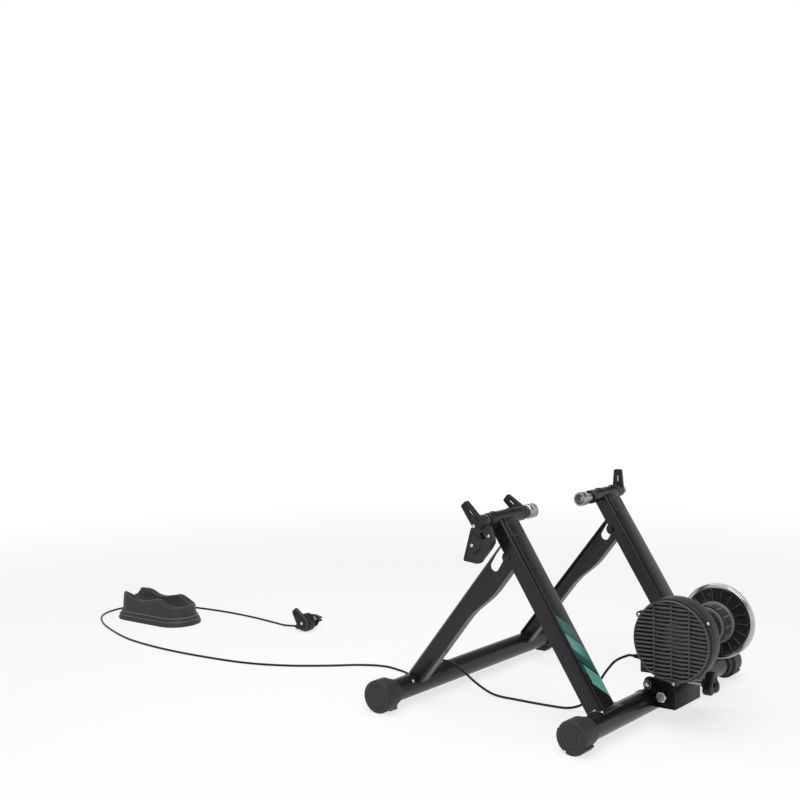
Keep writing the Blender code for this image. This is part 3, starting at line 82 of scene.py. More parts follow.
def at(x, y, z):
    """A place given from the floor's point below the clamps' axis."""
    return Vector((x - SHIFT, y, z))


def beside(spot, y):
    """A place that far to the left of a spot."""
    return spot + Y_AXIS * y


REAR_TUBE = at(-0.211, 0, 0.031)
FRONT_TUBE = at(0.206, 0, 0.031)
CLAMPS = at(0, 0, 0.367)
UNIT = at(-0.287, 0, 0.160)
PIVOT = at(-0.249, 0, 0.047)
KNOB = at(-0.316, 0, 0.0665)
REMOTE = at(0.760, -0.135, 0.021)
BLOCK = at(1.150, 0, 0)
UPRIGHT_LENGTH = (CLAMPS - REAR_TUBE).length
UP = (CLAMPS - REAR_TUBE).normalized()
AHEAD = Vector((UP.z, 0, -UP.x))
UPRIGHT_Y = 0.187
HALF_WIDTH = 0.3055
FIT = 0.0003


# Camera, fitted to the photograph: angles in radians, focal length in pixels

CAMERA_SPOT = at(-1.3306, 2.1574, 0.7267)
HEADING, TILT, ROLL = -0.901, -0.0605, -0.0204
FOCAL_PIXELS = 1321.9
PHOTO_PIXELS = 800
SENSOR_WIDTH = 36


def axes(x, y, z):
    """Turn that takes the three axes to three directions."""
    return Matrix((x, y, z)).transposed().to_4x4()


def place_camera():
    forward = Vector((math.cos(TILT) * math.cos(HEADING), math.cos(TILT) * math.sin(HEADING),
                      math.sin(TILT)))
    right = forward.cross(Z_AXIS).normalized()
    above = right.cross(forward)
    across = right * math.cos(ROLL) + above * math.sin(ROLL)
    upward = above * math.cos(ROLL) - right * math.sin(ROLL)
    data = bpy.data.cameras.new("photo_camera")
    data.sensor_width = SENSOR_WIDTH
    data.lens = FOCAL_PIXELS / PHOTO_PIXELS * SENSOR_WIDTH
    data.clip_start = 0.05
    camera = bpy.data.objects.new("photo_camera", data)
    camera.matrix_world = Matrix.Translation(CAMERA_SPOT) @ axes(across, upward, -forward)
    scene.collection.objects.link(camera)
    scene.camera = camera


# Modelling helpers

MERGE = 0.000002
CAD_MERGE = 0.00002
FLAT_ANGLE = 0.6


def only(piece):
    bpy.ops.object.select_all(action="DESELECT")
    piece.select_set(True)
    bpy.context.view_layer.objects.active = piece


def edit(piece, kind="FACE"):
    only(piece)
    bpy.ops.object.mode_set(mode="EDIT")
    bpy.ops.mesh.select_mode(type=kind)
    bpy.ops.mesh.select_all(action="DESELECT")


def leave():
    bpy.ops.object.mode_set(mode="OBJECT")


def named(piece, name):
    piece.name = piece.data.name = name
    return piece


def drop(piece):
    bpy.data.objects.remove(piece, do_unlink=True)


def pick(piece, test):
    """Selects the faces for which test is true, in edit mode."""
    mesh = bmesh.from_edit_mesh(piece.data)
    for face in mesh.faces:
        face.select_set(bool(test(face)))
    mesh.select_flush_mode()
    bmesh.update_edit_mesh(piece.data)


def reshape(piece, move):
    """Hands each vertex's place to a function that moves it, in edit mode."""
    mesh = bmesh.from_edit_mesh(piece.data)
    for vert in mesh.verts:
        move(vert.co)
    bmesh.update_edit_mesh(piece.data)


def settle(piece):
    """Leaves the piece's place in its mesh."""
    only(piece)
    bpy.ops.object.transform_apply(location=True, rotation=True, scale=True)


def merged(distance=MERGE):
    """Merges vertices that lie together, in edit mode, and leaves all of the mesh selected."""
    bpy.ops.mesh.select_all(action="SELECT")
    bpy.ops.mesh.remove_doubles(threshold=distance)
    bpy.ops.mesh.select_all(action="SELECT")


def closed_up():
    merged()
    bpy.ops.mesh.normals_make_consistent(inside=False)


def simplified():
    """Makes one face of the facets that lie in one plane, in edit mode."""
    merged(CAD_MERGE)
    bpy.ops.mesh.dissolve_limited(angle_limit=math.radians(FLAT_ANGLE))


def facing_out(piece):
    edit(piece)
    closed_up()
    leave()


def applied(piece, step):
    only(piece)
    bpy.ops.object.modifier_apply(modifier=step.name)


def rounded(piece, width, segments=2, angle=35, edge=None):
    """Rounds a piece's sharp edges. Where an edge finish is given, the rounding takes it: a lighter
    colour that paints a highlight along the edges.
    """
    step = piece.modifiers.new("rounding", "BEVEL")
    step.width = width
    step.segments = segments
    step.limit_method = "ANGLE"
    step.angle_limit = math.radians(angle)
    step.use_clamp_overlap = True
    if edge:
        piece.data.materials.append(edge.material)
        step.material = len(piece.data.materials) - 1
    applied(piece, step)


def smooth(piece, angle=35):
    only(piece)
    bpy.ops.object.shade_smooth_by_angle(angle=math.radians(angle))


def given(piece, finish, body, *nodes, width=0.0, segments=2, angle=35, edge=None):
    """Gives a piece its finish, its edges and shading and its body, and hides the CAD nodes it stands
    for.
    """
    piece.data.materials.clear()
    piece.data.materials.append(finish.material)
    if width:
        rounded(piece, width, segments, angle, edge)
    smooth(piece, angle)
    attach(piece, body)
    if nodes:
        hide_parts(*nodes)
    return piece


def finer(node, width, finish, edge=None, angle=35, segments=2):
    """A CAD node's own shape with merged faces and rounded edges, riding where the node does. An edge
    finish, where one is given, paints a highlight on the rounded edges.
    """
    source = frame["nodes"][node]
    made = bpy.data.objects.new(node + "_finished", source.data.copy())
    scene.collection.objects.link(made)
    edit(made, "VERT")
    bpy.ops.mesh.customdata_custom_splitnormals_clear()
    simplified()
    leave()
    return given(made, finish, source["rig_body"], node, width=width, segments=segments,
                 angle=angle, edge=edge)


def pulled(move):
    bpy.ops.mesh.extrude_region_move(TRANSFORM_OT_translate={"value": move})


def drawn(name, points):
    """A new piece that is one line, extruded from a single vertex. It is left in edit mode."""
    bpy.ops.object.select_all(action="DESELECT")
    bpy.ops.mesh.primitive_plane_add(size=0.002, location=(0, 0, 0))
    piece = named(bpy.context.object, name)
    bpy.ops.object.mode_set(mode="EDIT")
    bpy.ops.mesh.select_mode(type="VERT")
    bpy.ops.mesh.select_all(action="SELECT")
    bpy.ops.mesh.merge(type="CENTER")
    bpy.ops.transform.translate(value=points[0])
    for here, there in zip(points, points[1:]):
        pulled(there - here)
    bpy.ops.mesh.select_all(action="SELECT")
    return piece


def outlined(name, points):
    """A new piece that is one closed line. It is left in edit mode."""
    piece = drawn(name, points + points[:1])
    merged()
    return piece


def facing(way):
    """Turn that takes +Z to a way."""
    return Z_AXIS.rotation_difference(Vector(way)).to_matrix().to_4x4()


def spun(name, spot, profile, segments=96, way=Y_AXIS):
    """A turned piece: (radius, height) points spun about the line through a spot, along a way."""
    piece = drawn(name, [Vector((r, 0, h)) for r, h in profile])
    bpy.ops.mesh.spin(steps=segments, angle=2 * math.pi, center=(0, 0, 0), axis=Z_AXIS)
    closed_up()
    leave()
    piece.matrix_world = Matrix.Translation(spot) @ facing(way)
    settle(piece)
    return piece


def plug(radius, low, high):
    """Profile of a plain round plug, such as the one that cuts a bore."""
    return [(0, low), (radius, low), (radius, high), (0, high)]


def hoop(inner, outer, low, high):
    """Profile of a plain ring or tube."""
    return [(inner, low), (outer, low), (outer, high), (inner, high), (inner, low)]


def groove(radius, start, depth, slope, flat):
    """Profile of a narrow groove round a wall: down a slope, along a flat and up again."""
    return [(radius, start), (radius - depth, start + slope),
            (radius - depth, start + slope + flat), (radius, start + 2 * slope + flat)]


def threaded(radius, start, end, pitch, depth):
    """Profile along a thread's crests and roots."""
    turns = max(2, int(abs(end - start) / pitch))
    step = (end - start) / turns
    points = []
    for i in range(turns):
        points += [(radius, start + step * (i + 0.1)), (radius, start + step * (i + 0.4)),
                   (radius - depth, start + step * (i + 0.65)),
                   (radius - depth, start + step * (i + 0.8))]
    return points


def raised_ring(name, spot, radius, height, thickness, segments=96):
    """A thin raised ring with sloping sides, sunk a hair into the face that it stands on."""
    half, sunk = thickness / 2, 0.0002
    top = half * 0.7
    profile = [(radius - half, -sunk), (radius - top, height), (radius + top, height),
               (radius + half, -sunk), (radius - half, -sunk)]
    return spun(name, spot, profile, segments)


def slab(name, outline, low, high):
    """A flat piece: an outline of (x, z) points, filled, and extruded along Y."""
    piece = outlined(name, [Vector((x, low, z)) for x, z in outline])
    bpy.ops.mesh.edge_face_add()
    pulled((0, high - low, 0))
    closed_up()
    leave()
    return piece


def block(name, low, high):
    """A bar between two corners, for a rib, a cutter or a pad that is shaped further."""
    bpy.ops.object.select_all(action="DESELECT")
    middle = (Vector(low) + Vector(high)) / 2
    bpy.ops.mesh.primitive_cube_add(size=1, location=middle)
    piece = named(bpy.context.object, name)
    piece.scale = Vector(high) - Vector(low)
    settle(piece)
    return piece


def arc(centre, radius, start, end, steps):
    turns = [math.radians(start + (end - start) * i / steps) for i in range(steps + 1)]
    return [(centre[0] + radius * math.cos(a), centre[1] + radius * math.sin(a)) for a in turns]


def radial(degrees):
    """Way from a centre line along Y, turned up from +X."""
    return Vector((math.cos(math.radians(degrees)), 0, math.sin(math.radians(degrees))))


def slot_outline(first, second, radius, steps=8):
    """Round-ended slot between two (x, z) places."""
    way = math.degrees(math.atan2(second[1] - first[1], second[0] - first[0]))
    return (arc(second, radius, way - 90, way + 90, steps)
            + arc(first, radius, way + 90, way + 270, steps))


def carved(piece, tool, operation="DIFFERENCE"):
    """Cuts a tool from a piece, and takes the tool away."""
    step = piece.modifiers.new("shape", "BOOLEAN")
    step.operation = operation
    step.solver = "EXACT"
    step.object = tool
    applied(piece, step)
    drop(tool)
    return piece


def fused(piece, tool):
    """Makes one solid of two."""
    return carved(piece, tool, "UNION")


def copied(piece, name, matrix):
    """A copy with its own mesh, moved by a matrix."""
    only(piece)
    bpy.ops.object.duplicate()
    twin = named(bpy.context.object, name)
    twin.matrix_world = matrix @ twin.matrix_world
    settle(twin)
    return twin


def joined(name, pieces):
    only(pieces[0])
    for piece in pieces:
        piece.select_set(True)
    bpy.ops.object.join()
    return named(bpy.context.object, name)


# Finishes

class Signal:
    """A value in a node tree. Sums, products and tests of it add the Math nodes that make them."""

    def __init__(self, graph, socket):
        self.graph = graph
        self.socket = socket

    def worked(self, operation, first, second):
        return self.graph.node("ShaderNodeMath", {"operation": operation}, {0: first, 1: second})

    def __add__(self, other):
        return self.worked("ADD", self, other)

    def __sub__(self, other):
        return self.worked("SUBTRACT", self, other)

    def __rsub__(self, other):
        return self.worked("SUBTRACT", other, self)

    def __mul__(self, other):
        return self.worked("MULTIPLY", self, other)

    def __lt__(self, other):
        return self.worked("LESS_THAN", self, other)

    def __gt__(self, other):
        return self.worked("GREATER_THAN", self, other)

    def between(self, low, high):
        return (self > low) * (self < high)


class Graph:
    """A node tree, to which nodes are added with their settings and their inputs."""

    def __init__(self, tree):
        self.tree = tree

    def node(self, kind, settings=None, inputs=None, output=0):
        made = self.tree.nodes.new(kind)
        for key, value in (settings or {}).items():
            setattr(made, key, value)
        for key, value in (inputs or {}).items():
            self.feed(made.inputs[key], value)
        return Signal(self, made.outputs[output])

    def feed(self, socket, value):
        if isinstance(value, Signal):
            self.tree.links.new(value.socket, socket)
        else:
            socket.default_value = value


class Finish(Graph):
    """A material that is named for what it is on, made node by node."""

    def __init__(self, name, slot, colour, roughness, metallic=0.0, coat=0.0, specular=0.5):
        self.slot = slot
        self.material = bpy.data.materials.new(name)
        self.material.use_nodes = True
        self.material.diffuse_color = (*colour, 1)
        super().__init__(self.material.node_tree)
        self.shader = self.tree.nodes["Principled BSDF"]
        self.base = (*colour, 1)
        self.rough = roughness
        self.give({"Base Color": self.base, "Roughness": roughness, "Metallic": metallic,
                   "Coat Weight": coat, "Coat Roughness": 0.12,
                   "Specular IOR Level": specular})
        self.place = self.node("ShaderNodeTexCoord", output="Object")

    def give(self, inputs):
        for key, value in inputs.items():
            self.feed(self.shader.inputs[key], value)

    def noise(self, scale, detail=2.0):
        return self.node("ShaderNodeTexNoise", None,
                         {"Vector": self.place, "Scale": scale, "Detail": detail})

    def mixed(self, share, first, second):
        return self.node("ShaderNodeMix", {"data_type": "RGBA"},
                         {"Factor": share, 6: first, 7: second}, 2)

    def bump(self, scale, depth, detail=2.0):
        """Fine relief of the whole surface."""
        self.give({"Normal": self.node("ShaderNodeBump", None, {
            "Height": self.noise(scale, detail), "Distance": depth, "Strength": 1.0}, "Normal")})

    def mottled(self, scale, spread, grey=0.12):
        """Slow cloudy change of colour and gloss over the surface."""
        cloud = self.noise(scale, 3.0)
        dark = [c * (1 - grey) for c in self.base[:3]] + [1]
        light = [c * (1 + grey) for c in self.base[:3]] + [1]
        self.give({"Base Color": self.mixed(cloud, dark, light),
                   "Roughness": cloud * (2 * spread) + (self.rough - spread)})


PEEL_SCALE, PEEL_DEPTH = 420.0, 0.00005
GRAIN_SCALE, GRAIN_DEPTH = 1500.0, 0.00006
BRUSH_SCALE, BRUSH_DEPTH = 1900.0, 0.00002
COAT, COAT_SPECULAR = 0.12, 0.28
PLASTIC_SPECULAR = 0.24


def moulded(name, slot, colour, roughness, scale=GRAIN_SCALE):
    """Moulded plastic: a fine even grain, and slight clouds in its gloss."""
    made = Finish(name, slot, colour, roughness, specular=PLASTIC_SPECULAR)
    made.mottled(60.0, 0.05)
    made.bump(scale, GRAIN_DEPTH, 3.0)
    return made


def coated(name, slot, colour, roughness, coat=COAT):
    """Powder coat on steel: orange peel in the gloss, slight clouds in the colour."""
    made = Finish(name, slot, colour, roughness, 0.0, coat, COAT_SPECULAR)
    made.mottled(22.0, 0.04, 0.10)
    made.bump(PEEL_SCALE, PEEL_DEPTH)
    return made


def metal(name, slot, colour, roughness):
    """Bare or plated metal: very fine relief, slight clouds in the gloss."""
    made = Finish(name, slot, colour, roughness, 1.0)
    made.mottled(90.0, 0.07, 0.08)
    made.bump(BRUSH_SCALE, BRUSH_DEPTH)
    return made


STAND_BLACK = (0.008, 0.008, 0.009)
# The edge grey, and the edge finishes made from it, are painted highlights: lighter colour on the rounded
# edges that stands in for the light they catch.
EDGE_HIGHLIGHT_GREY = (0.100, 0.100, 0.104)

stand_paint = coated("stand_black_coat", "stand_paint", STAND_BLACK, 0.30)
stand_edge_highlight = coated("stand_coat_edge_highlights", "stand_paint", EDGE_HIGHLIGHT_GREY, 0.36)
leg_paint = coated("leg_black_coat", "leg_paint", (0.010, 0.010, 0.011), 0.34)
leg_edge_highlight = coated("leg_coat_edge_highlights", "leg_paint", EDGE_HIGHLIGHT_GREY, 0.36)
cap_plastic = moulded("cap_moulding", "cap_plastic", (0.032, 0.032, 0.035), 0.46)
block_plastic = moulded("riser_block_moulding", "cap_plastic", (0.036, 0.036, 0.039), 0.50)
# The riser block's edge finish is a painted highlight: pale grey on its rounded edges and beads.
block_edge_highlight = moulded("riser_block_edge_highlights", "cap_plastic", (0.17, 0.17, 0.175), 0.46)
black_plastic = moulded("black_moulding", "black_plastic", (0.011, 0.011, 0.012), 0.38)
# The black moulding's edge finish is a painted highlight: lighter grey on the rounded edges.
black_edge_highlight = moulded("black_moulding_edge_highlights", "black_plastic", (0.060, 0.060, 0.063), 0.40)
lever_plastic = moulded("lever_moulding", "black_plastic", (0.024, 0.024, 0.026), 0.30)
grille_plastic = moulded("grille_moulding", "drum_plastic", (0.062, 0.062, 0.066), 0.28)
drum_plastic = moulded("drum_moulding", "drum_plastic", (0.013, 0.013, 0.014), 0.44)
neck_plastic = moulded("neck_moulding", "drum_plastic", (0.115, 0.115, 0.119), 0.36)
# Painted shade: a near-black finish for the liner that darkens the neck's windows.
neck_shade = Finish("neck_painted_shade", "drum_plastic", (0.002, 0.002, 0.002), 0.8, specular=0.04)
zinc = metal("zinc_plate", "zinc", (0.62, 0.62, 0.60), 0.30)
black_screw = metal("black_screws", "zinc", (0.10, 0.10, 0.10), 0.40)
steel = metal("bare_steel", "steel", (0.36, 0.36, 0.37), 0.36)
alloy = metal("turned_alloy", "alloy", (0.66, 0.67, 0.68), 0.30)
chrome = metal("chrome_rim", "chrome", (0.42, 0.42, 0.43), 0.16)
wheel_paint = coated("flywheel_black", "flywheel_paint", (0.022, 0.022, 0.024), 0.27, 0.5)
# The flywheel's edge finish is a painted highlight: lighter grey on the ribs' rounded edges.
wheel_edge_highlight = coated("flywheel_rib_edge_highlights", "flywheel_paint", EDGE_HIGHLIGHT_GREY, 0.30)
cable_skin = moulded("cable_sheath", "cable_skin", STAND_BLACK, 0.36, 700.0)
# Painted shade: a darker copy of the stand's black coat, with less specular, for the bracket under the
# drum.
bracket_shaded_paint = Finish("bracket_black_coat_shaded", "stand_paint", (0.004, 0.004, 0.0045), 0.42,
                       specular=0.14)
bracket_shaded_paint.mottled(30.0, 0.05)
bracket_shaded_paint.bump(PEEL_SCALE, PEEL_DEPTH)

# Stripes on the left upright's back: where each one starts and ends along its slant

STRIPE_SLOPE = 1.05
TOP_STRIPE = (0.1530, 0.1840)
UPPER_STRIPE = (0.1180, 0.1490)
MIDDLE_STRIPE = (0.0980, 0.1180)
LOWER_STRIPE = (0.0565, 0.0937)
LOWER_END = 0.0720
PALE_GREEN, DEEP_GREEN = (0.095, 0.300, 0.250, 1), (0.012, 0.070, 0.060, 1)
FADED_GREEN = (0.030, 0.130, 0.110, 1)
# The crease grey below is a painted highlight: a thin lighter line along each upright's back crease.
RIDGE_HIGHLIGHT_GREY = (0.085, 0.085, 0.088, 1)
BACK_DEPTH = -0.0128
CREASE = UPRIGHT_Y + 0.0150
RIDGE_HIGHLIGHT_WIDTH = 0.0011


def striped_paint():
    """The stand's black coat, with slanting sea-green stripes on the backs, and thin lighter lines
    painted along the back creases as highlights.
    """
    made = Finish("stand_coat_striped", "stand_paint", STAND_BLACK, 0.30, 0.0, COAT, COAT_SPECULAR)
    turned = made.node("ShaderNodeMapping", {"vector_type": "TEXTURE"}, {
        "Vector": made.place, "Location": REAR_TUBE,
        "Rotation": (0, math.atan2(UP.x, UP.z), 0)}, "Vector")
    depth, across, along = [made.node("ShaderNodeSeparateXYZ", None, {0: turned}, name)
                            for name in "XYZ"]
    slant = along - (across - UPRIGHT_Y) * STRIPE_SLOPE
    fade = made.node("ShaderNodeMapRange", None, {
        "Value": across, "From Min": UPRIGHT_Y - 0.022, "From Max": UPRIGHT_Y + 0.004}, "Result")
    back = (depth < BACK_DEPTH) * across.between(0, CREASE - 0.0012)
    outer = across > UPRIGHT_Y + 0.0075
    lower = slant.between(*LOWER_STRIPE)
    # Painted highlight: the thin bands along the creases of both uprights.
    ridge_highlight = (across.between(CREASE, CREASE + RIDGE_HIGHLIGHT_WIDTH)
            + across.between(-CREASE - RIDGE_HIGHLIGHT_WIDTH, -CREASE))
    colour = made.base
    for where, stripe in ((slant.between(*TOP_STRIPE) * fade * back, FADED_GREEN),
                          (slant.between(*MIDDLE_STRIPE) * back, DEEP_GREEN),
                          (slant.between(*UPPER_STRIPE) * back,
                           made.mixed(fade, DEEP_GREEN, PALE_GREEN)),
                          (lower * back * (1 - outer), PALE_GREEN),
                          (lower * back * outer * (slant > LOWER_END), DEEP_GREEN),
                          (ridge_highlight * (depth < BACK_DEPTH + 0.0008), RIDGE_HIGHLIGHT_GREY)):
        colour = made.mixed(where, colour, stripe)
    made.give({"Base Color": colour})
    made.bump(PEEL_SCALE, PEEL_DEPTH)
    return made


striped = striped_paint()


# Shift cable

FLOOR = 0.00255
ROUTE = (
    (-0.1898, 0.073, 0.1167), (-0.1648, 0.0745, 0.1030), (-0.143, 0.077, 0.076),
    (-0.124, 0.079, 0.044), (-0.103, 0.082, 0.017), (-0.074, 0.085, 0.0045),
    (-0.035, 0.088, FLOOR), (0.035, 0.090, FLOOR), (0.090, 0.091, 0.0045),
    (0.130, 0.092, 0.0205), (0.163, 0.093, 0.0415), (0.188, 0.094, 0.0530),
    (0.206, 0.094, 0.05465), (0.224, 0.093, 0.0515), (0.250, 0.088, 0.0335),
    (0.280, 0.079, 0.0125), (0.312, 0.066, 0.0042), (0.350, 0.050, FLOOR),
    (0.400, 0.042, FLOOR), (0.450, 0.062, FLOOR), (0.505, 0.106, FLOOR),
    (0.575, 0.152, FLOOR), (0.665, 0.186, FLOOR), (0.784, 0.201, FLOOR),
    (0.910, 0.203, FLOOR), (1.036, 0.188, FLOOR), (1.144, 0.152, FLOOR),
    (1.235, 0.108, FLOOR), (1.298, 0.056, FLOOR), (1.322, -0.008, FLOOR),
    (1.306, -0.070, FLOOR), (1.252, -0.112, FLOOR), (1.165, -0.134, FLOOR),
    (1.060, -0.142, FLOOR), (0.960, -0.136, FLOOR), (0.880, -0.124, FLOOR),
    (0.835, -0.113, 0.0040),
)
LANDING = 5
CABLE_R = 0.00235
CABLE_START = Vector((-0.2018, 0.073, 0.118))
CABLE_END = Vector((0.7943, -0.1107, 0.0068))
CABLE_STEPS = 7


def blend(before, start, end, after, share):
    """Point on a smooth curve between start and end."""
    square, cube = share ** 2, share ** 3
    return 0.5 * (2 * start + (end - before) * share
                  + (2 * before - 5 * start + 4 * end - after) * square
                  + (3 * start - before - 3 * end + after) * cube)


def cable_line():
    """Centre line of the cable: a smooth curve through its ends and its route."""
    ahead = X_AXIS * 2 * CABLE_R
    knots = [CABLE_START, CABLE_START + ahead] + [Vector(p) for p in ROUTE]
    knots += [CABLE_END + ahead, CABLE_END]
    knots = [knots[0] * 2 - knots[1]] + knots + [knots[-1] * 2 - knots[-2]]
    line = []
    for i in range(1, len(knots) - 2):
        line += [blend(*knots[i - 1:i + 3], step / CABLE_STEPS) for step in range(CABLE_STEPS)]
    return [at(*p) for p in line + [knots[-2]]]


def lay_cable():
    """Round cable along its line."""
    line = cable_line()
    curve = bpy.data.curves.new("shift_cable_sheath", "CURVE")
    curve.dimensions = "3D"
    curve.bevel_depth = CABLE_R
    curve.bevel_resolution = 4
    curve.use_fill_caps = True
    path = curve.splines.new("POLY")
    path.points.add(len(line) - 1)
    for spot, point in zip(path.points, line):
        spot.co = (*point, 1)
    path.use_smooth = True
    cable = bpy.data.objects.new("shift_cable_sheath", curve)
    scene.collection.objects.link(cable)
    curve.materials.append(cable_skin.material)
    only(cable)
    bpy.ops.object.convert(target="MESH")
    cable = bpy.context.object
    smooth(cable, 60)
    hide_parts("shift_cable")
    at(*ROUTE[LANDING])
    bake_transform(cable)


# Floor and light

def studio_floor():
    """White floor. Near the trainer it shows the shadow, and far away it is the plain white."""
    bpy.ops.object.select_all(action="DESELECT")
    bpy.ops.mesh.primitive_plane_add(size=60, location=(0, 0, 0))
    floor = bpy.context.object
    floor.name = "studio_floor"
    paint = Finish("studio_floor", None, (0.84, 0.84, 0.84), 0.9)
    camera, gloss, glass = [paint.node("ShaderNodeLightPath", output=ray) for ray in (
        "Is Camera Ray", "Is Glossy Ray", "Is Transmission Ray")]
    away = paint.node("ShaderNodeVectorMath", {"operation": "LENGTH"}, {0: paint.place}, "Value")
    fade = paint.node("ShaderNodeMapRange", None, {
        "Value": away, "From Min": 1.1, "From Max": 2.4, "To Min": 0.72, "To Max": 1.0})
    white = paint.node("ShaderNodeEmission", None, {"Color": (1, 1, 1, 1), "Strength": 1.0})
    own = Signal(paint, paint.shader.outputs[0])
    mixed = paint.node("ShaderNodeMixShader", None, {
        0: (camera + gloss + glass) * fade, 1: own, 2: white})
    paint.feed(paint.tree.nodes["Material Output"].inputs["Surface"], mixed)
    floor.data.materials.append(paint.material)


def studio_sky():
    """White all round at the height of the horizon, and dark overhead."""
    world = bpy.data.worlds.new("studio_world")
    scene.world = world
    world.use_nodes = True
    sky = Graph(world.node_tree)
    facing_way = sky.node("ShaderNodeTexCoord", output="Generated")
    height = sky.node("ShaderNodeSeparateXYZ", None, {0: facing_way}, "Z")
    light = sky.node("ShaderNodeValToRGB", None, {0: height})
    ramp = light.socket.node.color_ramp
    stops = ((0.0, 1.0), (0.30, 1.0), (0.42, 0.25), (0.70, 0.10), (1.0, 0.10))
    while len(ramp.elements) < len(stops):
        ramp.elements.new(0.5)
    for element, (position, grey) in zip(ramp.elements, stops):
        element.position = position
        element.color = (grey, grey, grey, 1)
    sky.feed(world.node_tree.nodes["Background"].inputs[0], light)


def studio_lamps():
    for name, spot, aim, size, power in (
            ("key_light", (-1.6, 1.5, 2.4), (-0.5, 0, 0.15), 1.6, 42),
            ("top_light", (0.1, 0.2, 2.8), (0.1, 0, 0), 2.6, 55)):
        data = bpy.data.lights.new(name, "AREA")
        data.shape = "SQUARE"
        data.size = size
        data.energy = power
        lamp = bpy.data.objects.new(name, data)
        lamp.location = spot
        lamp.rotation_euler = (Vector(aim) - Vector(spot)).to_track_quat("-Z", "Y").to_euler()
        scene.collection.objects.link(lamp)


# Small fasteners, modelled once and copied, and weld beads

def screw_master():
    """Pan head with a cross recess, one metre in radius, facing +Z."""
    dome = [(0, 0.62), (0.35, 0.60), (0.62, 0.50), (0.84, 0.30), (0.97, 0.08), (1.0, -0.10),
            (1.0, -0.45), (0, -0.45)]
    head = spun("screw_master", (0, 0, 0), dome, 28, Z_AXIS)
    for along, across in ((0.52, 0.10), (0.10, 0.52)):
        carved(head, block("recess", (-along, -across, 0.22), (along, across, 1.0)))
    return head


def screw(name, spot, radius, body, finish, way=Y_AXIS):
    size = Matrix.Diagonal((radius, radius, radius, 1))
    twin = copied(SCREW, name, Matrix.Translation(spot) @ facing(way) @ size)
    return given(twin, finish, body, width=radius * 0.06, segments=1, angle=50)


def weld(name, spot, radius, start, end, thick, finish, body):
    """Bead along an arc round a tube that lies along Y. It swells and thins a little."""
    around = [Vector((radius + thick * math.cos(a), 0, thick * math.sin(a)))
              for a in [2 * math.pi * i / 8 for i in range(8)]]
    piece = outlined(name, around)
    bpy.ops.mesh.spin(steps=40, angle=math.radians(end - start), center=(0, 0, 0),
                      axis=Z_AXIS, use_auto_merge=False)
    merged()
    bpy.ops.mesh.fill_holes(sides=0)
    closed_up()

    def ripple(place):
        turn = math.degrees(math.atan2(place.y, place.x))
        swell = 1 + 0.004 * math.sin(turn * 1.1)
        place.x *= swell
        place.y *= swell

    reshape(piece, ripple)
    leave()
    piece.matrix_world = (Matrix.Translation(spot) @ Matrix.Rotation(math.radians(90), 4, "X")
                          @ Matrix.Rotation(math.radians(start), 4, "Z"))
    settle(piece)
    return given(piece, finish, body, angle=60)


def beaded(name, points, thick, finish, body):
    """A round bead that follows a closed line of places."""
    piece = outlined(name, points)
    leave()
    only(piece)
    bpy.ops.object.convert(target="CURVE")
    piece = bpy.context.object
    piece.data.bevel_depth = thick
    piece.data.bevel_resolution = 2
    piece.data.use_fill_caps = True
    bpy.ops.object.convert(target="MESH")
    return given(named(bpy.context.object, name), finish, body, angle=60)


# Folding stand

TUBE_R = 0.021
TUBE_WALL = 0.002
CAP_R = 0.031
CAP_DISC = 0.030
CAP_LENGTH = 0.047
CAP_END = 0.005
BORE = TUBE_R + FIT
CAP_LIP = BORE + 0.0032
CAM_STEP = 0.0008
CAM_NOTCH = 0.0035
EAR_PROUD = 0.0003
FOLD_DROP = 0.0715
FOLD_AHEAD = 0.0125
LEG_PIN_BACK = 0.022


def floor_tube(name, middle, finish, body, node):
    end, bore, chamfer = HALF_WIDTH - CAP_END - FIT, TUBE_R - TUBE_WALL, 0.0005
    profile = [(bore, -end), (TUBE_R - chamfer, -end), (TUBE_R, chamfer - end),
               (TUBE_R, end - chamfer), (TUBE_R - chamfer, end), (bore, end), (bore, -end)]
    given(spun(name, middle, profile), finish, body, node)


def end_cap(word, side):
    """Plastic cap on the front tube: grooved face, wide band, thin lip, and a pad below."""
    profile = [(0, -0.0006), (0.0095, -0.0006), (0.0099, 0), (0.0196, 0), (0.0201, -0.0007),
               (0.0209, -0.0007), (0.0214, 0), (CAP_R - 0.0038, 0), (CAP_R - 0.0020, -0.0005),
               (CAP_R - 0.0006, -0.0019), (CAP_R, -0.0040), (CAP_R, 0.0008 - CAP_DISC),
               (CAP_R - 0.0008, -CAP_DISC), (CAP_LIP + 0.0015, -CAP_DISC - 0.0058),
               (CAP_LIP, -CAP_DISC - 0.0072), (CAP_LIP, 0.0006 - CAP_LENGTH),
               (CAP_LIP - 0.0006, -CAP_LENGTH), (BORE, -CAP_LENGTH), (BORE, -CAP_END),
               (0, -CAP_END)]
    cap = spun("end_cap_" + word, beside(FRONT_TUBE, side * HALF_WIDTH), profile,
               way=Y_AXIS * side)
    ends = sorted((side * (HALF_WIDTH - CAP_LENGTH), side * (HALF_WIDTH - CAP_DISC + 0.004)))
    x, half, cut = FRONT_TUBE.x, 0.012, 0.0007
    pad = block("pad", (x - half, ends[0], 0.0002), (x + half, ends[1], 0.0083))
    rounded(pad, 0.0008, 1)
    for middle in (x - 0.005, x + 0.005):
        carved(pad, block("groove", (middle - cut, -1, -1), (middle + cut, 1, 0.0015)))
    given(fused(cap, pad), cap_plastic, "front_frame", "front_cap_" + word, angle=40)


def cam_points():
    """Outline of a levelling foot: four round sectors, each nearer to the tube's axis."""
    centre = (REAR_TUBE.x, REAR_TUBE.z)
    points = []
    for i in range(4):
        middle, corner = -106 + i * 90, CAP_R - i * CAM_STEP
        points += arc(centre, corner, middle - 40, middle - 24, 1)
        points += arc(centre, corner - 0.0001, middle - 20, middle + 4, 4)
        points += arc(centre, corner, middle + 8, middle + 40, 4)
        points += arc(centre, CAP_R - CAM_NOTCH, middle + 42.5, middle + 47.5, 2)
    return points


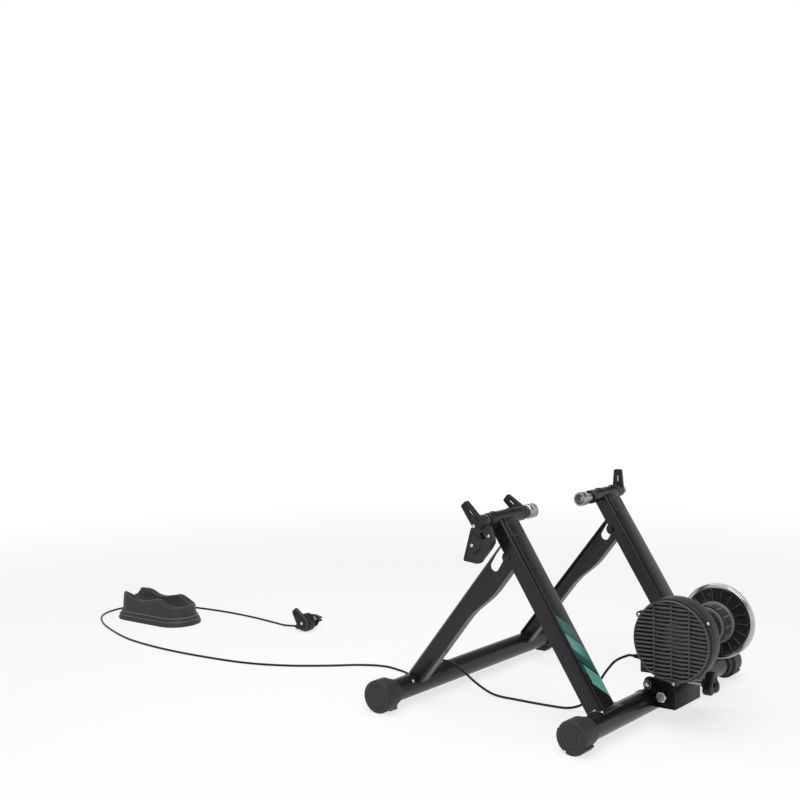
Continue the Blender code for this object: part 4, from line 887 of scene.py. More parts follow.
def levelling_foot(word, side):
    """Cap that is turned to level the stand, with stepped sectors and a ringed face."""
    outer, way = side * HALF_WIDTH, Y_AXIS * side
    foot = slab("levelling_cam_" + word, cam_points(),
                *sorted((outer, side * (HALF_WIDTH - CAP_DISC))))
    edit(foot)
    pick(foot, lambda face: abs(face.calc_center_median().y - outer) < 0.0001)
    bpy.ops.mesh.bevel(offset=0.0016, segments=3, affect="EDGES")
    leave()
    spot = beside(REAR_TUBE, outer)
    lip = [(0, 0.004 - CAP_DISC), (CAP_LIP, 0.004 - CAP_DISC), (CAP_LIP, 0.0006 - CAP_LENGTH),
           (CAP_LIP - 0.0006, -CAP_LENGTH), (0, -CAP_LENGTH)]
    fused(foot, spun("lip", spot, lip, way=way))
    carved(foot, spun("bore", spot, plug(BORE, -CAP_END, -CAP_LENGTH - 0.01), way=way))
    for inner, rim in ((0.0196, 0.0204), (0.0110, 0.0118)):
        carved(foot, spun("groove", spot, hoop(inner, rim, 0.001, -0.0006), way=way))
    given(foot, cap_plastic, word + "_foot", "levelling_foot_" + word, angle=30)


def upright(word, side):
    """The channel. Its ears stand EAR_PROUD out of its sides in the CAD, and are flush here."""
    node = "upright_" + word
    channel = finer(node, 0, striped)
    low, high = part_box(node)
    flush = (high[1] - low[1]) / 2 - EAR_PROUD

    def press(place):
        out = place.y - side * UPRIGHT_Y
        if abs(out) > flush - 0.0001:
            place.y -= math.copysign(abs(out) - flush, out)

    edit(channel, "VERT")
    reshape(channel, press)
    simplified()
    leave()
    # The channel's rounded edges take the lighter edge finish, a painted highlight.
    rounded(channel, 0.0008, edge=stand_edge_highlight)
    smooth(channel)


def away_from(tube, spot):
    """Way straight out of a tube that lies along Y, through a spot on it."""
    return Vector((spot.x - tube.x, 0, spot.z - tube.z)).normalized()


def upright_trim(word, side):
    """Saddle, fold pin, the rim of the top plate, the bolts at the foot and the sleeve's welds."""
    # The saddle's and the top rim's rounded edges take the lighter edge finish, a painted highlight.
    finer("saddle_" + word, 0.0006, stand_paint, stand_edge_highlight)
    finer("fold_pin_" + word, 0.0006, stand_paint)
    wide, tall, bar = 0.040, 0.026, 0.0016
    rim = [block("bar", (u - w / 2, v - h / 2, -0.0003), (u + w / 2, v + h / 2, 0.0007))
           for u, v, w, h in ((0, 0, wide, bar), (0, -tall, wide, bar),
                              ((bar - wide) / 2, -tall / 2, bar, tall + bar),
                              ((wide - bar) / 2, -tall / 2, bar, tall + bar))]
    plate = joined("top_rim_" + word, rim)
    centre = side * UPRIGHT_Y
    spot = beside(REAR_TUBE + UP * (UPRIGHT_LENGTH - 0.016) - AHEAD * 0.014, centre)
    plate.matrix_world = Matrix.Translation(spot) @ axes(Y_AXIS, UP, -AHEAD)
    settle(plate)
    given(plate, leg_paint, "stand", width=0.0003, segments=1, edge=stand_edge_highlight)
    for i, x in enumerate((-0.2035, -0.2185)):
        spot = at(x, side * 0.2172, 0.0541)
        screw("foot_bolt_%s_%d" % (word, i + 1), spot, 0.0027, "stand", zinc,
              away_from(REAR_TUBE, spot))
    for i, y in enumerate((centre - 0.0275, centre + 0.0275)):
        weld("sleeve_weld_%s_%d" % (word, i + 1), beside(CLAMPS, y), 0.0139, 150, 318, 0.0011,
             stand_paint, "stand")


def leg_place(along, ahead):
    """A place on the line of a front leg, as (x, z)."""
    fold = REAR_TUBE + UP * (UPRIGHT_LENGTH - FOLD_DROP) + AHEAD * FOLD_AHEAD
    span = fold - FRONT_TUBE
    way = Matrix.Rotation(math.asin(LEG_PIN_BACK / span.length), 3, "Y") @ span.normalized()
    spot = FRONT_TUBE + way * along + Vector((way.z, 0, -way.x)) * ahead
    return spot.x, spot.z


def front_leg(word, side):
    """The leg with its see-through slot, and the bolt and the weld at its foot."""
    leg = finer("front_leg_" + word, 0, leg_paint)
    opening = slot_outline(leg_place(0.3170, -0.0062), leg_place(0.3560, -0.0024), 0.0094, 12)
    reach = sorted((side * (UPRIGHT_Y - 0.020), side * (UPRIGHT_Y + 0.020)))
    carved(leg, slab("opening", opening, *reach))
    # The leg's rounded edges take the lighter edge finish, a painted highlight.
    rounded(leg, 0.0007, edge=leg_edge_highlight)
    smooth(leg)
    spot = at(0.1893, side * 0.2150, 0.0437)
    screw("leg_bolt_" + word, spot, 0.0030, "front_frame", zinc, away_from(FRONT_TUBE, spot))
    weld("leg_weld_" + word, beside(FRONT_TUBE, side * 0.2022), 0.0213, 70, 150, 0.0011,
         leg_paint, "front_frame")


# Clamps

SLEEVE_R = 0.0135
SLEEVE_IN = UPRIGHT_Y - 0.063
SLEEVE_OUT = UPRIGHT_Y + 0.049
SPINDLE_R = 0.008
SPINDLE_BORE = SPINDLE_R + FIT
CUP_BACK = SLEEVE_IN - 0.016
CUP_MOUTH = CUP_BACK - 0.023
CUP_FLOOR = CUP_MOUTH + 0.009
CUP_NOTCHES = 12
WING_NUT_IN = SLEEVE_OUT + 0.0235
WING_T = 0.009
WING_REACH = 0.0440
WING_HALF = 0.0080
WING_HUB = 0.0122
LEVER_IN = SLEEVE_OUT + 0.0035
LEVER_T = 0.0195


def sleeve(word, side):
    """Tube across the upright's top with ringed collars at its ends."""
    low, high, r = SLEEVE_IN, SLEEVE_OUT, SLEEVE_R
    profile = [(SPINDLE_BORE, low), (r - 0.0012, low), (r, low + 0.0010)]
    for start, slope in ((low + 0.0050, 0.0006), (high - 0.0150, 0.0005), (high - 0.0095, 0.0005)):
        profile += groove(r, start, 0.0007, slope, 0.0010)
    profile += [(r, high - 0.0020), (r - 0.0008, high - 0.0006), (r - 0.0020, high),
                (SPINDLE_BORE, high), (SPINDLE_BORE, low)]
    given(spun("axle_sleeve_" + word, CLAMPS, profile, way=Y_AXIS * side), stand_paint, "stand",
          "sleeve_" + word)


def cup(word, side):
    """Steel cup on the spindle's inner end, with a ring of notches round its mouth."""
    back, mouth, r, bore = CUP_BACK, CUP_MOUTH, SLEEVE_R, SPINDLE_BORE
    profile = [(bore, back), (r - 0.0025, back), (r - 0.0011, back - 0.0012), (r, back - 0.0040)]
    profile += groove(r, back - 0.0090, 0.0006, -0.0006, -0.0010)
    profile += [(r, mouth + 0.0010), (r - 0.0007, mouth), (0.0103, mouth), (0.0098, mouth + 0.0010),
                (0.0090, CUP_FLOOR), (bore, CUP_FLOOR), (bore, back)]
    made = spun("axle_grip_" + word, CLAMPS, profile, way=Y_AXIS * side)
    notch = block("notch", (-0.0005, -0.0010, 0.0085), (0.0005, 0.0010, 0.016))
    place = Matrix.Translation(beside(CLAMPS, side * mouth))
    cuts = [copied(notch, "notch_%d" % i, place @ Matrix.Rotation(
        2 * math.pi * (i + 0.5) / CUP_NOTCHES, 4, "Y")) for i in range(CUP_NOTCHES)]
    drop(notch)
    carved(made, joined("notches", cuts))
    given(made, steel, word + "_spindle", "axle_cup_" + word, width=0.0002, segments=1)


def spindle(word, side, high):
    """Rod from the cup's floor, threaded at its outer end."""
    low, r = CUP_FLOOR + FIT, SPINDLE_R
    profile = [(0, low), (r - 0.001, low), (r, low + 0.001), (r, high - 0.024)]
    profile += threaded(r, high - 0.023, high - 0.002, 0.0015, 0.0007)
    profile += [(r - 0.0012, high - 0.0010), (r - 0.0022, high), (0, high)]
    given(spun("threaded_spindle_" + word, CLAMPS, profile, 48, Y_AXIS * side), steel,
          word + "_spindle", "spindle_" + word, angle=50)


def wing(name, node, inner, turn, side, slot_at, blind):
    """Wing with a round hub, raised long edges, a see-through slot and a bore or a closed end."""
    reach, half, hub, corner = WING_REACH, WING_HALF, WING_HUB, 0.003
    low, high = sorted((inner, inner + side * WING_T))
    outer = inner + side * WING_T
    outline = arc((0, 0), hub, 75, 285, 20)
    outline += arc((reach - corner, corner - half), corner, -80, 0, 4)
    outline += arc((reach - corner, half - corner), corner, 0, 80, 4)
    made = slab("wing", outline, low, high)
    rounded(made, 0.0010, 2, 50)
    pocket = [(hub + 0.0010, -0.0076), (reach - 0.0026, -0.0056), (reach - 0.0026, 0.0056),
              (hub + 0.0010, 0.0076)]
    carved(made, slab("pocket", pocket, *sorted((outer - side * 0.0022, outer + side * 0.001))))
    ends = (slot_at - 0.0048, 0), (slot_at + 0.0048, 0)
    carved(made, slab("slot", slot_outline(*ends, 0.0024), low - 0.001, high + 0.001))
    levels = sorted((outer - side * 0.0030, outer - side * 0.0008))
    bars = [slab("bar", slot_outline((slot_at - 0.006, z), (slot_at + 0.008, z), 0.0006, 3),
                 *levels) for z in (-0.0041, 0.0041)]
    fused(made, joined("bars", bars))
    rise = [(0, -0.002), (hub - 0.0022, -0.002), (hub - 0.0026, 0.0004), (hub - 0.0034, 0.0010),
            (0, 0.0010)]
    fused(made, spun("cap", (0, outer - side * 0.0004, 0), rise, 48, Y_AXIS * side))
    bore = low - 0.002, high + 0.002
    if blind:
        bore = sorted((inner - side * 0.001, inner + side * 0.0078))
    carved(made, spun("bore", (0, 0, 0), plug(SPINDLE_BORE, *bore), 48))
    made.matrix_world = Matrix.Translation(CLAMPS) @ Matrix.Rotation(math.radians(-turn), 4, "Y")
    settle(named(made, name))
    # The wing's rounded edges take the lighter edge finish, a painted highlight.
    given(made, black_plastic, name, node, width=0.0005, angle=40, edge=black_edge_highlight)


def lever():
    """Clamp lever: a moulded shell with a panel, a pocket, a rib beside a groove, and a seam."""
    back, top = LEVER_IN, LEVER_IN + LEVER_T - 0.0030
    bore = SPINDLE_BORE

    def places(*points):
        return [(x - SHIFT, z) for x, z in points]

    outline = places((0.0110, 0.3620), (0.0215, 0.3555), (0.0232, 0.3520), (0.0392, 0.2985),
                     (0.0396, 0.2960), (0.0378, 0.2942), (0.0110, 0.2915), (0.0080, 0.2918),
                     (0.0052, 0.2938), (-0.0170, 0.3200), (-0.0232, 0.3300), (-0.0240, 0.3350),
                     (-0.0225, 0.3420), (-0.0150, 0.3600), (-0.0060, 0.3640))
    made = slab("lever_shell", outline, back + 0.0010, top)
    rounded(made, 0.0030, 4, 40)
    hub = [(bore, 0), (0.0120, 0), (0.0128, 0.0010), (0.0128, LEVER_T - 0.0010),
           (0.0120, LEVER_T), (bore, LEVER_T), (bore, 0)]
    fused(made, spun("hub", beside(CLAMPS, back), hub, 64))
    carved(made, spun("bore", beside(CLAMPS, back), plug(bore, -0.001, LEVER_T + 0.0025), 64))
    panel = places((0.0200, 0.3440), (0.0345, 0.2985), (0.0110, 0.2960), (-0.0080, 0.3180))
    carved(made, slab("panel", panel, top - 0.0010, top + 0.002))
    for work, name, first, second, radius, steps, low, high in (
            (carved, "pocket", (-0.0052, 0.3405), (-0.0030, 0.3455), 0.0042, 8, -0.0060, 0.002),
            (carved, "groove", (0.0140, 0.3075), (-0.0005, 0.3190), 0.0010, 8, -0.0026, 0),
            (fused, "rib", (0.0165, 0.3100), (0.0030, 0.3208), 0.0008, 8, -0.0016, 0.0004),
            (carved, "seam", (0.0226, 0.3502), (-0.0009, 0.3379), 0.0005, 4, -0.0008, 0.001)):
        form = slot_outline(*places(first, second), radius, steps)
        work(made, slab(name, form, top + low, top + high))
    # The lever's rounded edges take the lighter edge finish, a painted highlight.
    given(named(made, "clamp_lever_shell"), lever_plastic, "clamp_lever", "clamp_lever",
          width=0.0005, angle=40, edge=black_edge_highlight)
    screw("lever_screw", at(0.0200, top - 0.0004, 0.3240), 0.0036, "clamp_lever", zinc)
    screw("lever_bolt", at(-0.0168, top + 0.0003, 0.3440), 0.0030, "clamp_lever", zinc)


def clamps():
    for word, side in BOTH_SIDES:
        sleeve(word, side)
        cup(word, side)
    spindle("left", 1, WING_NUT_IN + 0.0075)
    spindle("right", -1, SLEEVE_OUT + 0.026)
    ring_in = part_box("wing_ring_left")[0][1]
    wing("left_wing_nut", "wing_nut_left", WING_NUT_IN, 50, 1, 0.0225, True)
    wing("left_wing_ring", "wing_ring_left", ring_in, 38, 1, 0.0290, False)
    wing("right_wing_nut", "wing_nut_right", -SLEEVE_OUT - 0.0005, 90, -1, 0.0250, False)
    screw("left_hub_screw", at(0.0053, WING_NUT_IN + WING_T + 0.0008, 0.3615), 0.0033,
          "left_wing_nut", zinc)
    lever()


# Resistance unit

DRUM_R = 0.0745
DRUM_FACE = 0.100
DRUM_BACK = 0.045
COVER_BACK = 0.094
DRUM_EDGE = COVER_BACK - FIT
EARS = (30, 150, 270)
EAR_REACH = DRUM_R + 0.0015
EAR_R = 0.006
GRILLE_R = 0.0690
GRILLE_TRIM = GRILLE_R + 0.0010
GRILLE_ROWS = 19
GRILLE_RIBS = (-0.485, 0.0, 0.485)
RIB_HALF = 0.0014
BLADE_GAP = 0.0008
BLADE_ROOT = 0.34
BLADE_MIDDLE = COVER_BACK + 0.0006
BLADE_SECTION = ((0.0006, 0.0004), (0.0030, -0.0022), (0.0048, -0.0026), (0.0058, -0.0018),
                 (0.0059, -0.0006), (0.0048, 0.0008), (0.0024, 0.0020))
BEARING_R = 0.0155
SHAFT_BORE = 0.0063
ROLLER_R = 0.0175
ROLLER_NEAR = 0.0392
ROLLER_FAR = -0.0362
NECK_R = 0.036
NECK_IN = -0.042
NECK_OUT = -0.080
NECK_WALL = 0.0014
WINDOW_TURN = 30
WINDOW_GAP = 2.5
FLYWHEEL_R = 0.069
FLYWHEEL_IN = -0.086
FLYWHEEL_OUT = FLYWHEEL_IN - 0.016
FLYWHEEL_MIDDLE = (FLYWHEEL_IN + FLYWHEEL_OUT) / 2
FLYWHEEL_RIM = FLYWHEEL_R - 0.007
FLYWHEEL_RIBS = 18
KNOB_R = 0.0235
KNOB_LOBE = 0.0085
KNOB_HALF = 0.008
ROD_R = 0.0040


def drum():
    """Turned cup of the magnet brake with its screw ears and the foot that takes the cable."""
    edge, r = DRUM_EDGE, DRUM_R
    profile = [(BEARING_R, DRUM_BACK), (0.0545, DRUM_BACK), (0.0620, 0.0462), (0.0685, 0.0500),
               (0.0728, 0.0560), (r, 0.0620)]
    profile += groove(r, 0.0800, 0.0005, 0.0006, 0.0012)
    profile += [(r, edge - 0.0058), (r - 0.0012, edge - 0.0042), (r - 0.0020, edge - 0.0036),
                (r - 0.0020, edge), (GRILLE_R, edge), (GRILLE_R, 0.0590), (0.0525, 0.0490),
                (0.0215, 0.0490), (0.0215, 0.0565), (BEARING_R, 0.0565), (BEARING_R, DRUM_BACK)]
    made = spun("brake_drum", UNIT, profile, 128)
    ear = [(0, edge - 0.020), (EAR_R - 0.0012, edge - 0.020), (EAR_R, edge - 0.0185),
           (EAR_R, edge - 0.0062), (EAR_R - 0.0007, edge - 0.0055), (0, edge - 0.0055)]
    for turn in EARS:
        fused(made, spun("ear", UNIT + radial(turn) * EAR_REACH, ear, 40))
    front, low, high = at(-0.2204, 0, 0).x, 0.0940, 0.1260
    foot = [(front, low), (front - 0.022, low + 0.0005)]
    foot += arc((UNIT.x, UNIT.z), DRUM_R - 0.0020, -62, -30, 10) + [(front, high)]
    tab = slab("foot", foot, 0.0612, edge - 0.010)
    rounded(tab, 0.0012, 2, 50)
    given(fused(made, tab), drum_plastic, "unit", "drum_housing", angle=32)
    for i, turn in enumerate(EARS):
        spot = beside(UNIT + radial(turn) * EAR_REACH, edge - 0.0052)
        screw("cover_screw_%d" % (i + 1), spot, 0.0034, "unit", zinc)
    screw("foot_screw", at(-0.2262, edge - 0.0098, 0.1045), 0.0026, "unit", black_screw)


def blade(start, end):
    """One metre of blade. It swells from a thin root at a rib, and stays full at the ring."""
    made = outlined("blade", [Vector((0, COVER_BACK + y, z)) for y, z in BLADE_SECTION])
    bpy.ops.mesh.edge_face_add()
    for _ in range(10):
        pulled((0.1, 0, 0))
    closed_up()

    def swell(place):
        turn = math.pi * (start + (end - start) * place.x)
        size = BLADE_ROOT + (1 - BLADE_ROOT) * max(0.0, math.sin(turn)) ** 0.6
        place.y = BLADE_MIDDLE + (place.y - BLADE_MIDDLE) * size
        place.z *= 0.35 + 0.65 * size

    reshape(made, swell)
    leave()
    return made


def grille_blades():
    """Rows of blades between the ribs, trimmed to the ring."""
    masters = {key: blade(*key) for key in ((0.0, 1.0), (0.5, 1.0), (0.0, 0.5))}
    edges = (-1.0, *GRILLE_RIBS, 1.0)
    blades = []
    for row in range(GRILLE_ROWS):
        height = 2 * GRILLE_R * (row + 0.5) / GRILLE_ROWS - GRILLE_R
        chord = math.sqrt(GRILLE_TRIM ** 2 - max(0.0, abs(height) - 0.0026) ** 2)
        for i, (left, right) in enumerate(zip(edges, edges[1:])):
            low, high = left * GRILLE_R + BLADE_GAP, right * GRILLE_R - BLADE_GAP
            key = (0.5 if left == -1 or low < -chord else 0.0,
                   0.5 if right == 1 or high > chord else 1.0)
            low, high = max(low, -chord), min(high, chord)
            if high - low < 0.004 or key not in masters:
                continue
            place = Matrix.Translation(UNIT + Vector((low, 0, height)))
            blades.append(copied(masters[key], "blade_%d_%d" % (row, i),
                                 place @ Matrix.Diagonal((high - low, 1, 1, 1))))
    for master in masters.values():
        drop(master)
    trim = plug(GRILLE_TRIM, COVER_BACK - 0.002, DRUM_FACE + 0.002)
    return carved(joined("blades", blades), spun("trim", UNIT, trim, 128), "INTERSECT")


def louvred_cover():
    """Ring with rows of sloping blades, split by three upright ribs."""
    rim, face, back, r = DRUM_R - 0.0028, DRUM_FACE, COVER_BACK, GRILLE_R
    ring = [(r, back), (rim, back), (rim, face - 0.0026), (rim - 0.0005, face - 0.0009),
            (rim - 0.0013, face - 0.0002), (rim - 0.0020, face - 0.0004),
            (r + 0.0004, face - 0.0022), (r, face - 0.0030), (r, back)]
    parts = [spun("cover_ring", UNIT, ring, 128), grille_blades()]
    for i, share in enumerate(GRILLE_RIBS):
        x, half = UNIT.x + share * r, r * math.sqrt(1 - share ** 2)
        parts.append(block("rib_%d" % i, (x - RIB_HALF, back + 0.0002, UNIT.z - half),
                           (x + RIB_HALF, back + 0.0016, UNIT.z + half)))
    given(joined("louvred_cover", parts), grille_plastic, "unit", "grille_cover", angle=50)


def neck():
    """Neck shell with rows of windows and a flanged end, its band, and a near-black liner inside that
    paints the shade seen through the windows.
    """
    first, last = NECK_IN - 0.0085, NECK_OUT + 0.006
    pitch = (last - first) / 3
    columns = [(first + pitch * (i + 0.11), first + pitch * (i + 0.89)) for i in range(3)]
    profile = [(BEARING_R + 0.0004, NECK_IN), (NECK_R - 0.006, NECK_IN),
               (NECK_R - 0.0020, NECK_IN - 0.0018), (NECK_R, NECK_IN - 0.006)]
    profile += [(NECK_R, y) for column in columns for y in column]
    profile += [(NECK_R, NECK_OUT + 0.0048), (NECK_R + 0.0022, NECK_OUT + 0.0040),
                (NECK_R + 0.0030, NECK_OUT + 0.0030), (NECK_R + 0.0030, NECK_OUT + 0.0004)]
    made = spun("neck_shell", UNIT, profile, 144)

    def in_window(face):
        middle = face.calc_center_median() - UNIT
        turn = math.degrees(math.atan2(middle.z, middle.x)) % WINDOW_TURN
        return (math.hypot(middle.x, middle.z) > NECK_R - 0.002
                and WINDOW_GAP < turn < WINDOW_TURN - WINDOW_GAP
                and any(high > middle.y > low for high, low in columns))

    edit(made)
    pick(made, in_window)
    bpy.ops.mesh.delete(type="FACE")
    leave()
    wall = made.modifiers.new("wall", "SOLIDIFY")
    wall.thickness = NECK_WALL
    wall.offset = -1
    wall.use_even_offset = True
    applied(made, wall)
    given(made, neck_plastic, "unit", "neck_housing", width=0.00035, segments=1, angle=40)
    given(raised_ring("neck_band", beside(UNIT, NECK_IN - 0.0045), NECK_R - 0.0006, 0.0018,
                      0.0030), drum_plastic, "unit")
    # The liner is painted shade: a near-black sheet behind the windows.
    shade_liner = hoop(NECK_R - 0.0067, NECK_R - 0.0055, NECK_IN - 0.0020, NECK_OUT + 0.0020)
    given(spun("neck_shade_liner", UNIT, shade_liner), neck_shade, "unit", angle=50)


def flywheel():
    """Dished black web with ribs, and a bright rim that is turned and grooved."""
    near, far, middle = FLYWHEEL_IN, FLYWHEEL_OUT, FLYWHEEL_MIDDLE
    r, inner, bore = FLYWHEEL_R, FLYWHEEL_RIM, SHAFT_BORE
    web = [(bore, near + 0.002), (0.0115, near + 0.002), (0.0125, near + 0.001),
           (0.0160, middle + 0.004), (0.0200, middle + 0.0036), (0.0310, middle + 0.0030),
           (0.0330, middle + 0.0024), (inner - 0.010, middle + 0.0021),
           (inner - 0.0030, near - 0.0025), (inner - 0.0008, near - 0.001),
           (inner, near - 0.001), (inner, far + 0.001), (inner - 0.0030, far + 0.0022),
           (inner - 0.009, middle - 0.004), (0.0165, middle - 0.003), (0.0125, far),
           (bore, far), (bore, near + 0.002)]
    made = spun("flywheel_dish", UNIT, web, 108)
    rib = slab("rib", [(0.0340, middle), (inner - 0.0012, middle), (inner - 0.0012, near - 0.0018),
                       (inner - 0.0060, near - 0.0016), (0.0400, near - 0.0022),
                       (0.0340, middle + 0.0022)], -0.0008, 0.0008)
    rib.matrix_world = axes(X_AXIS, Z_AXIS, Y_AXIS)
    settle(rib)
    facing_out(rib)
    ribs = [copied(rib, "rib_%d" % i, Matrix.Translation(UNIT) @ Matrix.Rotation(
        2 * math.pi * i / FLYWHEEL_RIBS, 4, "Y")) for i in range(FLYWHEEL_RIBS)]
    drop(rib)
    # The ribs' rounded edges take the lighter edge finish, a painted highlight.
    given(joined("flywheel_dish", [made] + ribs), wheel_paint, "rotor", "flywheel_web",
          width=0.0004, segments=1, angle=50, edge=wheel_edge_highlight)
    rim = [(inner + FIT, near), (r - 0.0022, near), (r - 0.0008, near - 0.0006),
           (r, near - 0.0020)]
    rim += groove(r, near - 0.0040, 0.0005, -0.0004, -0.0006)
    rim += [(r, far + 0.0020), (r - 0.0008, far + 0.0006), (r - 0.0022, far), (inner + FIT, far),
            (inner + FIT, near)]
    given(spun("flywheel_bright_rim", UNIT, rim, 144), chrome, "rotor", "flywheel_rim", angle=40)
    screw("flywheel_rivet", at(-0.3041, middle + 0.0030, 0.1318), 0.0027, "rotor", zinc)
    finer("flywheel_nut", 0.0006, zinc)


def roller_and_bearings():
    near, far, r = ROLLER_NEAR, ROLLER_FAR, ROLLER_R
    profile = [(SHAFT_BORE, far), (r - 0.0010, far), (r, far + 0.0010)]
    profile += threaded(r, far + 0.0040, near - 0.0040, 0.0022, 0.0003)
    profile += [(r, near - 0.0010), (r - 0.0010, near), (SHAFT_BORE, near), (SHAFT_BORE, far)]
    given(spun("knurled_roller", UNIT, profile), alloy, "rotor", "roller", angle=30)
    for node in ("bearing_near", "bearing_far"):
        finer(node, 0.0003, steel)
    for node in ("main_shaft", "brake_disc"):
        finer(node, 0.0003, black_screw)
    finer("magnet_carrier", 0.0004, black_plastic)


def knob_points(steps):
    """Outline of three round lobes: a radius that falls and rises three times round."""
    points = []
    for i in range(steps):
        turn = 2 * math.pi * i / steps
        radius = KNOB_R - KNOB_LOBE * (1 - math.cos(3 * turn)) / 2
        points.append((radius * math.sin(turn), radius * math.cos(turn)))
    return points


def tension_knob():
    """Three-lobed knob with a hub, a sunk back and a blind hole."""
    made = slab("knob_grip", knob_points(66), -KNOB_HALF, KNOB_HALF)
    rounded(made, 0.0030, 4, 50)
    hub = [(0, -0.0155), (0.0075, -0.0155), (0.0085, -0.0145), (0.0095, -0.0070), (0, -0.0070)]
    sunk = [(0, 0.0066), (0.0110, 0.0066), (0.0120, 0.0095), (0, 0.0095)]
    hole = [(0, 0.0010), (0.0050, 0.0010), (0.0055, 0.0095), (0, 0.0095)]
    for work, name, profile, segments in ((fused, "hub", hub, 48), (carved, "sunk", sunk, 48),
                                          (carved, "hole", hole, 40),
                                          (carved, "bore", plug(ROD_R + FIT, -0.0170, 0), 32)):
        work(made, spun(name, (0, 0, 0), profile, segments))
    made.matrix_world = Matrix.Translation(KNOB) @ Matrix.Rotation(math.radians(90), 4, "Z")
    settle(made)
    given(made, black_plastic, "tension_knob", "tension_knob", angle=40)


def tension_rod():
    """Threaded rod with a turned point, running back into the knob."""
    low, high = [corner[0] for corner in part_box("tension_screw")]
    end = low - high + 0.0045
    profile = [(0, 0), (ROD_R - 0.0020, 0), (ROD_R - 0.0010, -0.0006), (ROD_R, -0.0018)]
    profile += threaded(ROD_R, -0.0022, end + 0.0012, 0.00125, 0.0005)
    profile += [(ROD_R - 0.0004, end + 0.0004), (ROD_R - 0.0008, end), (0, end)]
    given(spun("tension_rod", Vector((high, 0, KNOB.z)), profile, 32, X_AXIS), zinc,
          "tension_screw", "tension_screw", angle=50)


def bracket_parts():
    """Bracket and yoke with their pivot, the stop barrel, and the welds on the rear tube."""
    # The bracket takes the darker copy of the coat, a painted shade. The bracket, the yoke and the barrel
    # take the lighter edge finish on their rounded edges, a painted highlight.
    finer("unit_bracket", 0.0008, bracket_shaded_paint, stand_edge_highlight)
    finer("unit_yoke", 0.0008, stand_paint, stand_edge_highlight)
    finer("pivot_bolt", 0.0008, zinc)
    finer("pivot_nut", 0.0005, zinc)
    finer("pivot_spacer", 0.0003, steel)
    finer("bracket_barrel", 0.0008, stand_paint, stand_edge_highlight)
    screw("barrel_screw", at(-0.224, 0.0674, 0.067), 0.0046, "stand", zinc)
    face = [(0, 0.0012), (0.0030, 0.0012), (0.0036, 0.0002), (0.0070, 0.0002), (0.0076, -0.0004),
            (0, -0.0004)]
    given(spun("bolt_face", beside(PIVOT, 0.0621), face, 48), zinc, "stand", angle=40)
    for i, y in enumerate((0.0556, -0.0456)):
        weld("cheek_weld_%d" % (i + 1), beside(REAR_TUBE, y), 0.0212, 118, 246, 0.0012,
             stand_paint, "stand")


def gland():
    """Ribbed strain relief where the cable leaves the drum's foot."""
    low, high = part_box("cable_gland")
    start = Vector((low[0], (low[1] + high[1]) / 2, (low[2] + high[2]) / 2))
    profile = [(0, 0), (0.0058, 0), (0.0062, 0.0004), (0.0062, 0.0036), (0.0058, 0.0040),
               (0.0050, 0.0042)]
    for i in range(5):
        x, r = 0.0050 + i * 0.0024, 0.0047 - i * 0.00026
        profile += [(r - 0.0008, x), (r, x + 0.0005), (r - 0.0002, x + 0.0014),
                    (r - 0.0009, x + 0.0018)]
    profile += [(0.0034, 0.0176), (0.0030, 0.0180), (0, 0.0180)]
    given(spun("strain_relief", start, profile, 48, X_AXIS), black_plastic, "unit",
          "cable_gland", angle=45)


# Riser block and remote

BLOCK_HALF = 0.120
BLOCK_HALF_WIDTH = 0.056
BLOCK_CORNER = 0.052
SKIRT = 0.020
GRIP_RIBS = 5


def riser():
    """Moulded block, with narrow raised beads round its step and round its skirt. Its rounded edges and
    the beads take a pale grey that paints highlight lines on them.
    """
    finer("riser_block", 0.0018, block_plastic, block_edge_highlight, angle=42, segments=3)
    for name, inset, height, thick in (("riser_step_bead", 0.0072, SKIRT, 0.0009),
                                       ("riser_skirt_bead", 0.0024, SKIRT - 0.0085, 0.0007)):
        corner = BLOCK_CORNER - inset
        long, flat = BLOCK_HALF - inset - corner, BLOCK_HALF_WIDTH - inset - corner
        around = []
        for x, y, turn in ((long, -flat, -90), (long, flat, 0), (-long, flat, 90),
                           (-long, -flat, 180)):
            around += arc((BLOCK.x + x, y), corner, turn, turn + 90, 10)
        beaded(name, [Vector((x, y, height)) for x, y in around], thick, block_edge_highlight, "stand")


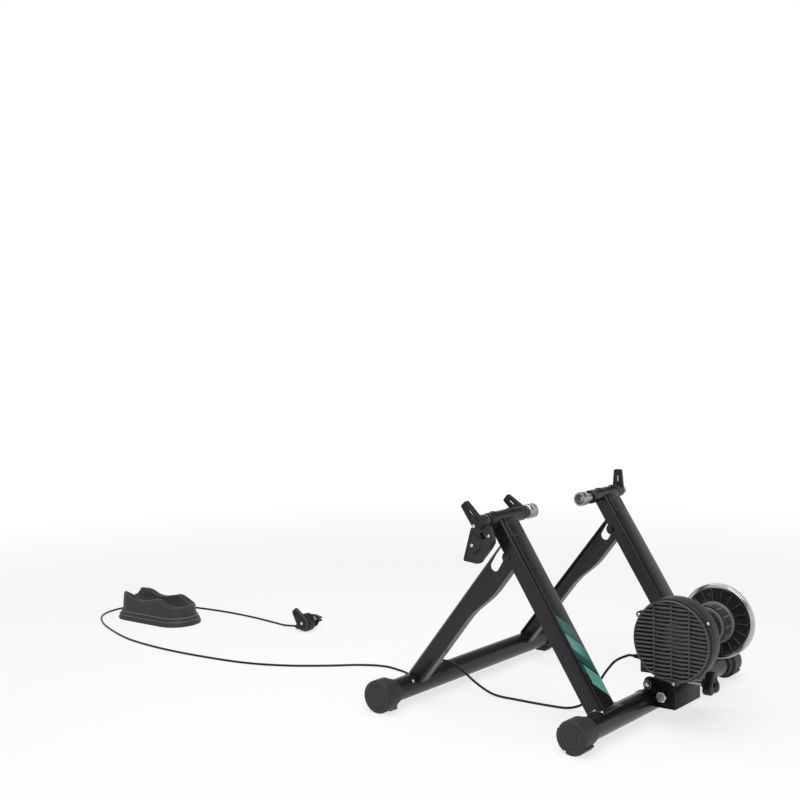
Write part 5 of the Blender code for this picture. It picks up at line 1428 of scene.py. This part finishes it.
def remote_parts():
    """Remote with its pivot screw, dial ring and grip ribs, and the cable's adjuster."""
    # The body's and the thumb lever's rounded edges take the lighter edge finish, a painted highlight.
    finer("remote_body", 0.0008, black_plastic, black_edge_highlight)
    finer("remote_band", 0.0006, black_plastic)
    finer("remote_screw", 0.0004, zinc)
    finer("thumb_lever", 0.0010, black_plastic, black_edge_highlight)
    centre = Vector((REMOTE.x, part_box("thumb_lever")[1][1], REMOTE.z))
    screw("remote_pivot", beside(centre, 0.0005), 0.0042, "thumb_lever", zinc)
    given(raised_ring("remote_dial", centre, 0.0120, 0.0006, 0.0016, 72), black_plastic,
          "thumb_lever")
    way, side = radial(50), radial(140)
    bars = []
    for i in range(GRIP_RIBS):
        bar = block("bar", (-0.0005, -0.0030, -0.0045), (0.0005, 0.0006, 0.0045))
        spot = centre + way * (0.0235 + i * 0.0028)
        bar.matrix_world = Matrix.Translation(spot) @ axes(way, Y_AXIS, side)
        settle(bar)
        bars.append(bar)
    grip = joined("thumb_grip", bars)
    facing_out(grip)
    given(grip, black_plastic, "thumb_lever", width=0.0003, segments=1)
    bore, r, length = 0.0026, 0.0062, 0.0102
    collar = [(bore, 0), (r - 0.0004, 0), (r, 0.0005)]
    for i in range(4):
        x = 0.0010 + i * 0.0021
        collar += [(r, x), (r, x + 0.0011), (r - 0.0006, x + 0.0014), (r - 0.0006, x + 0.0018)]
    collar += [(r - 0.0008, length - 0.0006), (r - 0.0014, length), (bore, length), (bore, 0)]
    given(spun("cable_adjuster", at(0.7800, CABLE_END.y, CABLE_END.z), collar, 40, X_AXIS),
          black_plastic, "stand", angle=40)


place_camera()
lay_cable()
studio_floor()
studio_sky()
studio_lamps()
scene.view_settings.view_transform = "Standard"
SCREW = screw_master()
floor_tube("rear_floor_tube", REAR_TUBE, stand_paint, "stand", "rear_tube")
floor_tube("front_floor_tube", FRONT_TUBE, leg_paint, "front_frame", "front_tube")
for word, side in BOTH_SIDES:
    end_cap(word, side)
    levelling_foot(word, side)
    upright(word, side)
    upright_trim(word, side)
    front_leg(word, side)
clamps()
drum()
louvred_cover()
neck()
flywheel()
roller_and_bearings()
tension_knob()
tension_rod()
bracket_parts()
gland()
riser()
remote_parts()
drop(SCREW)
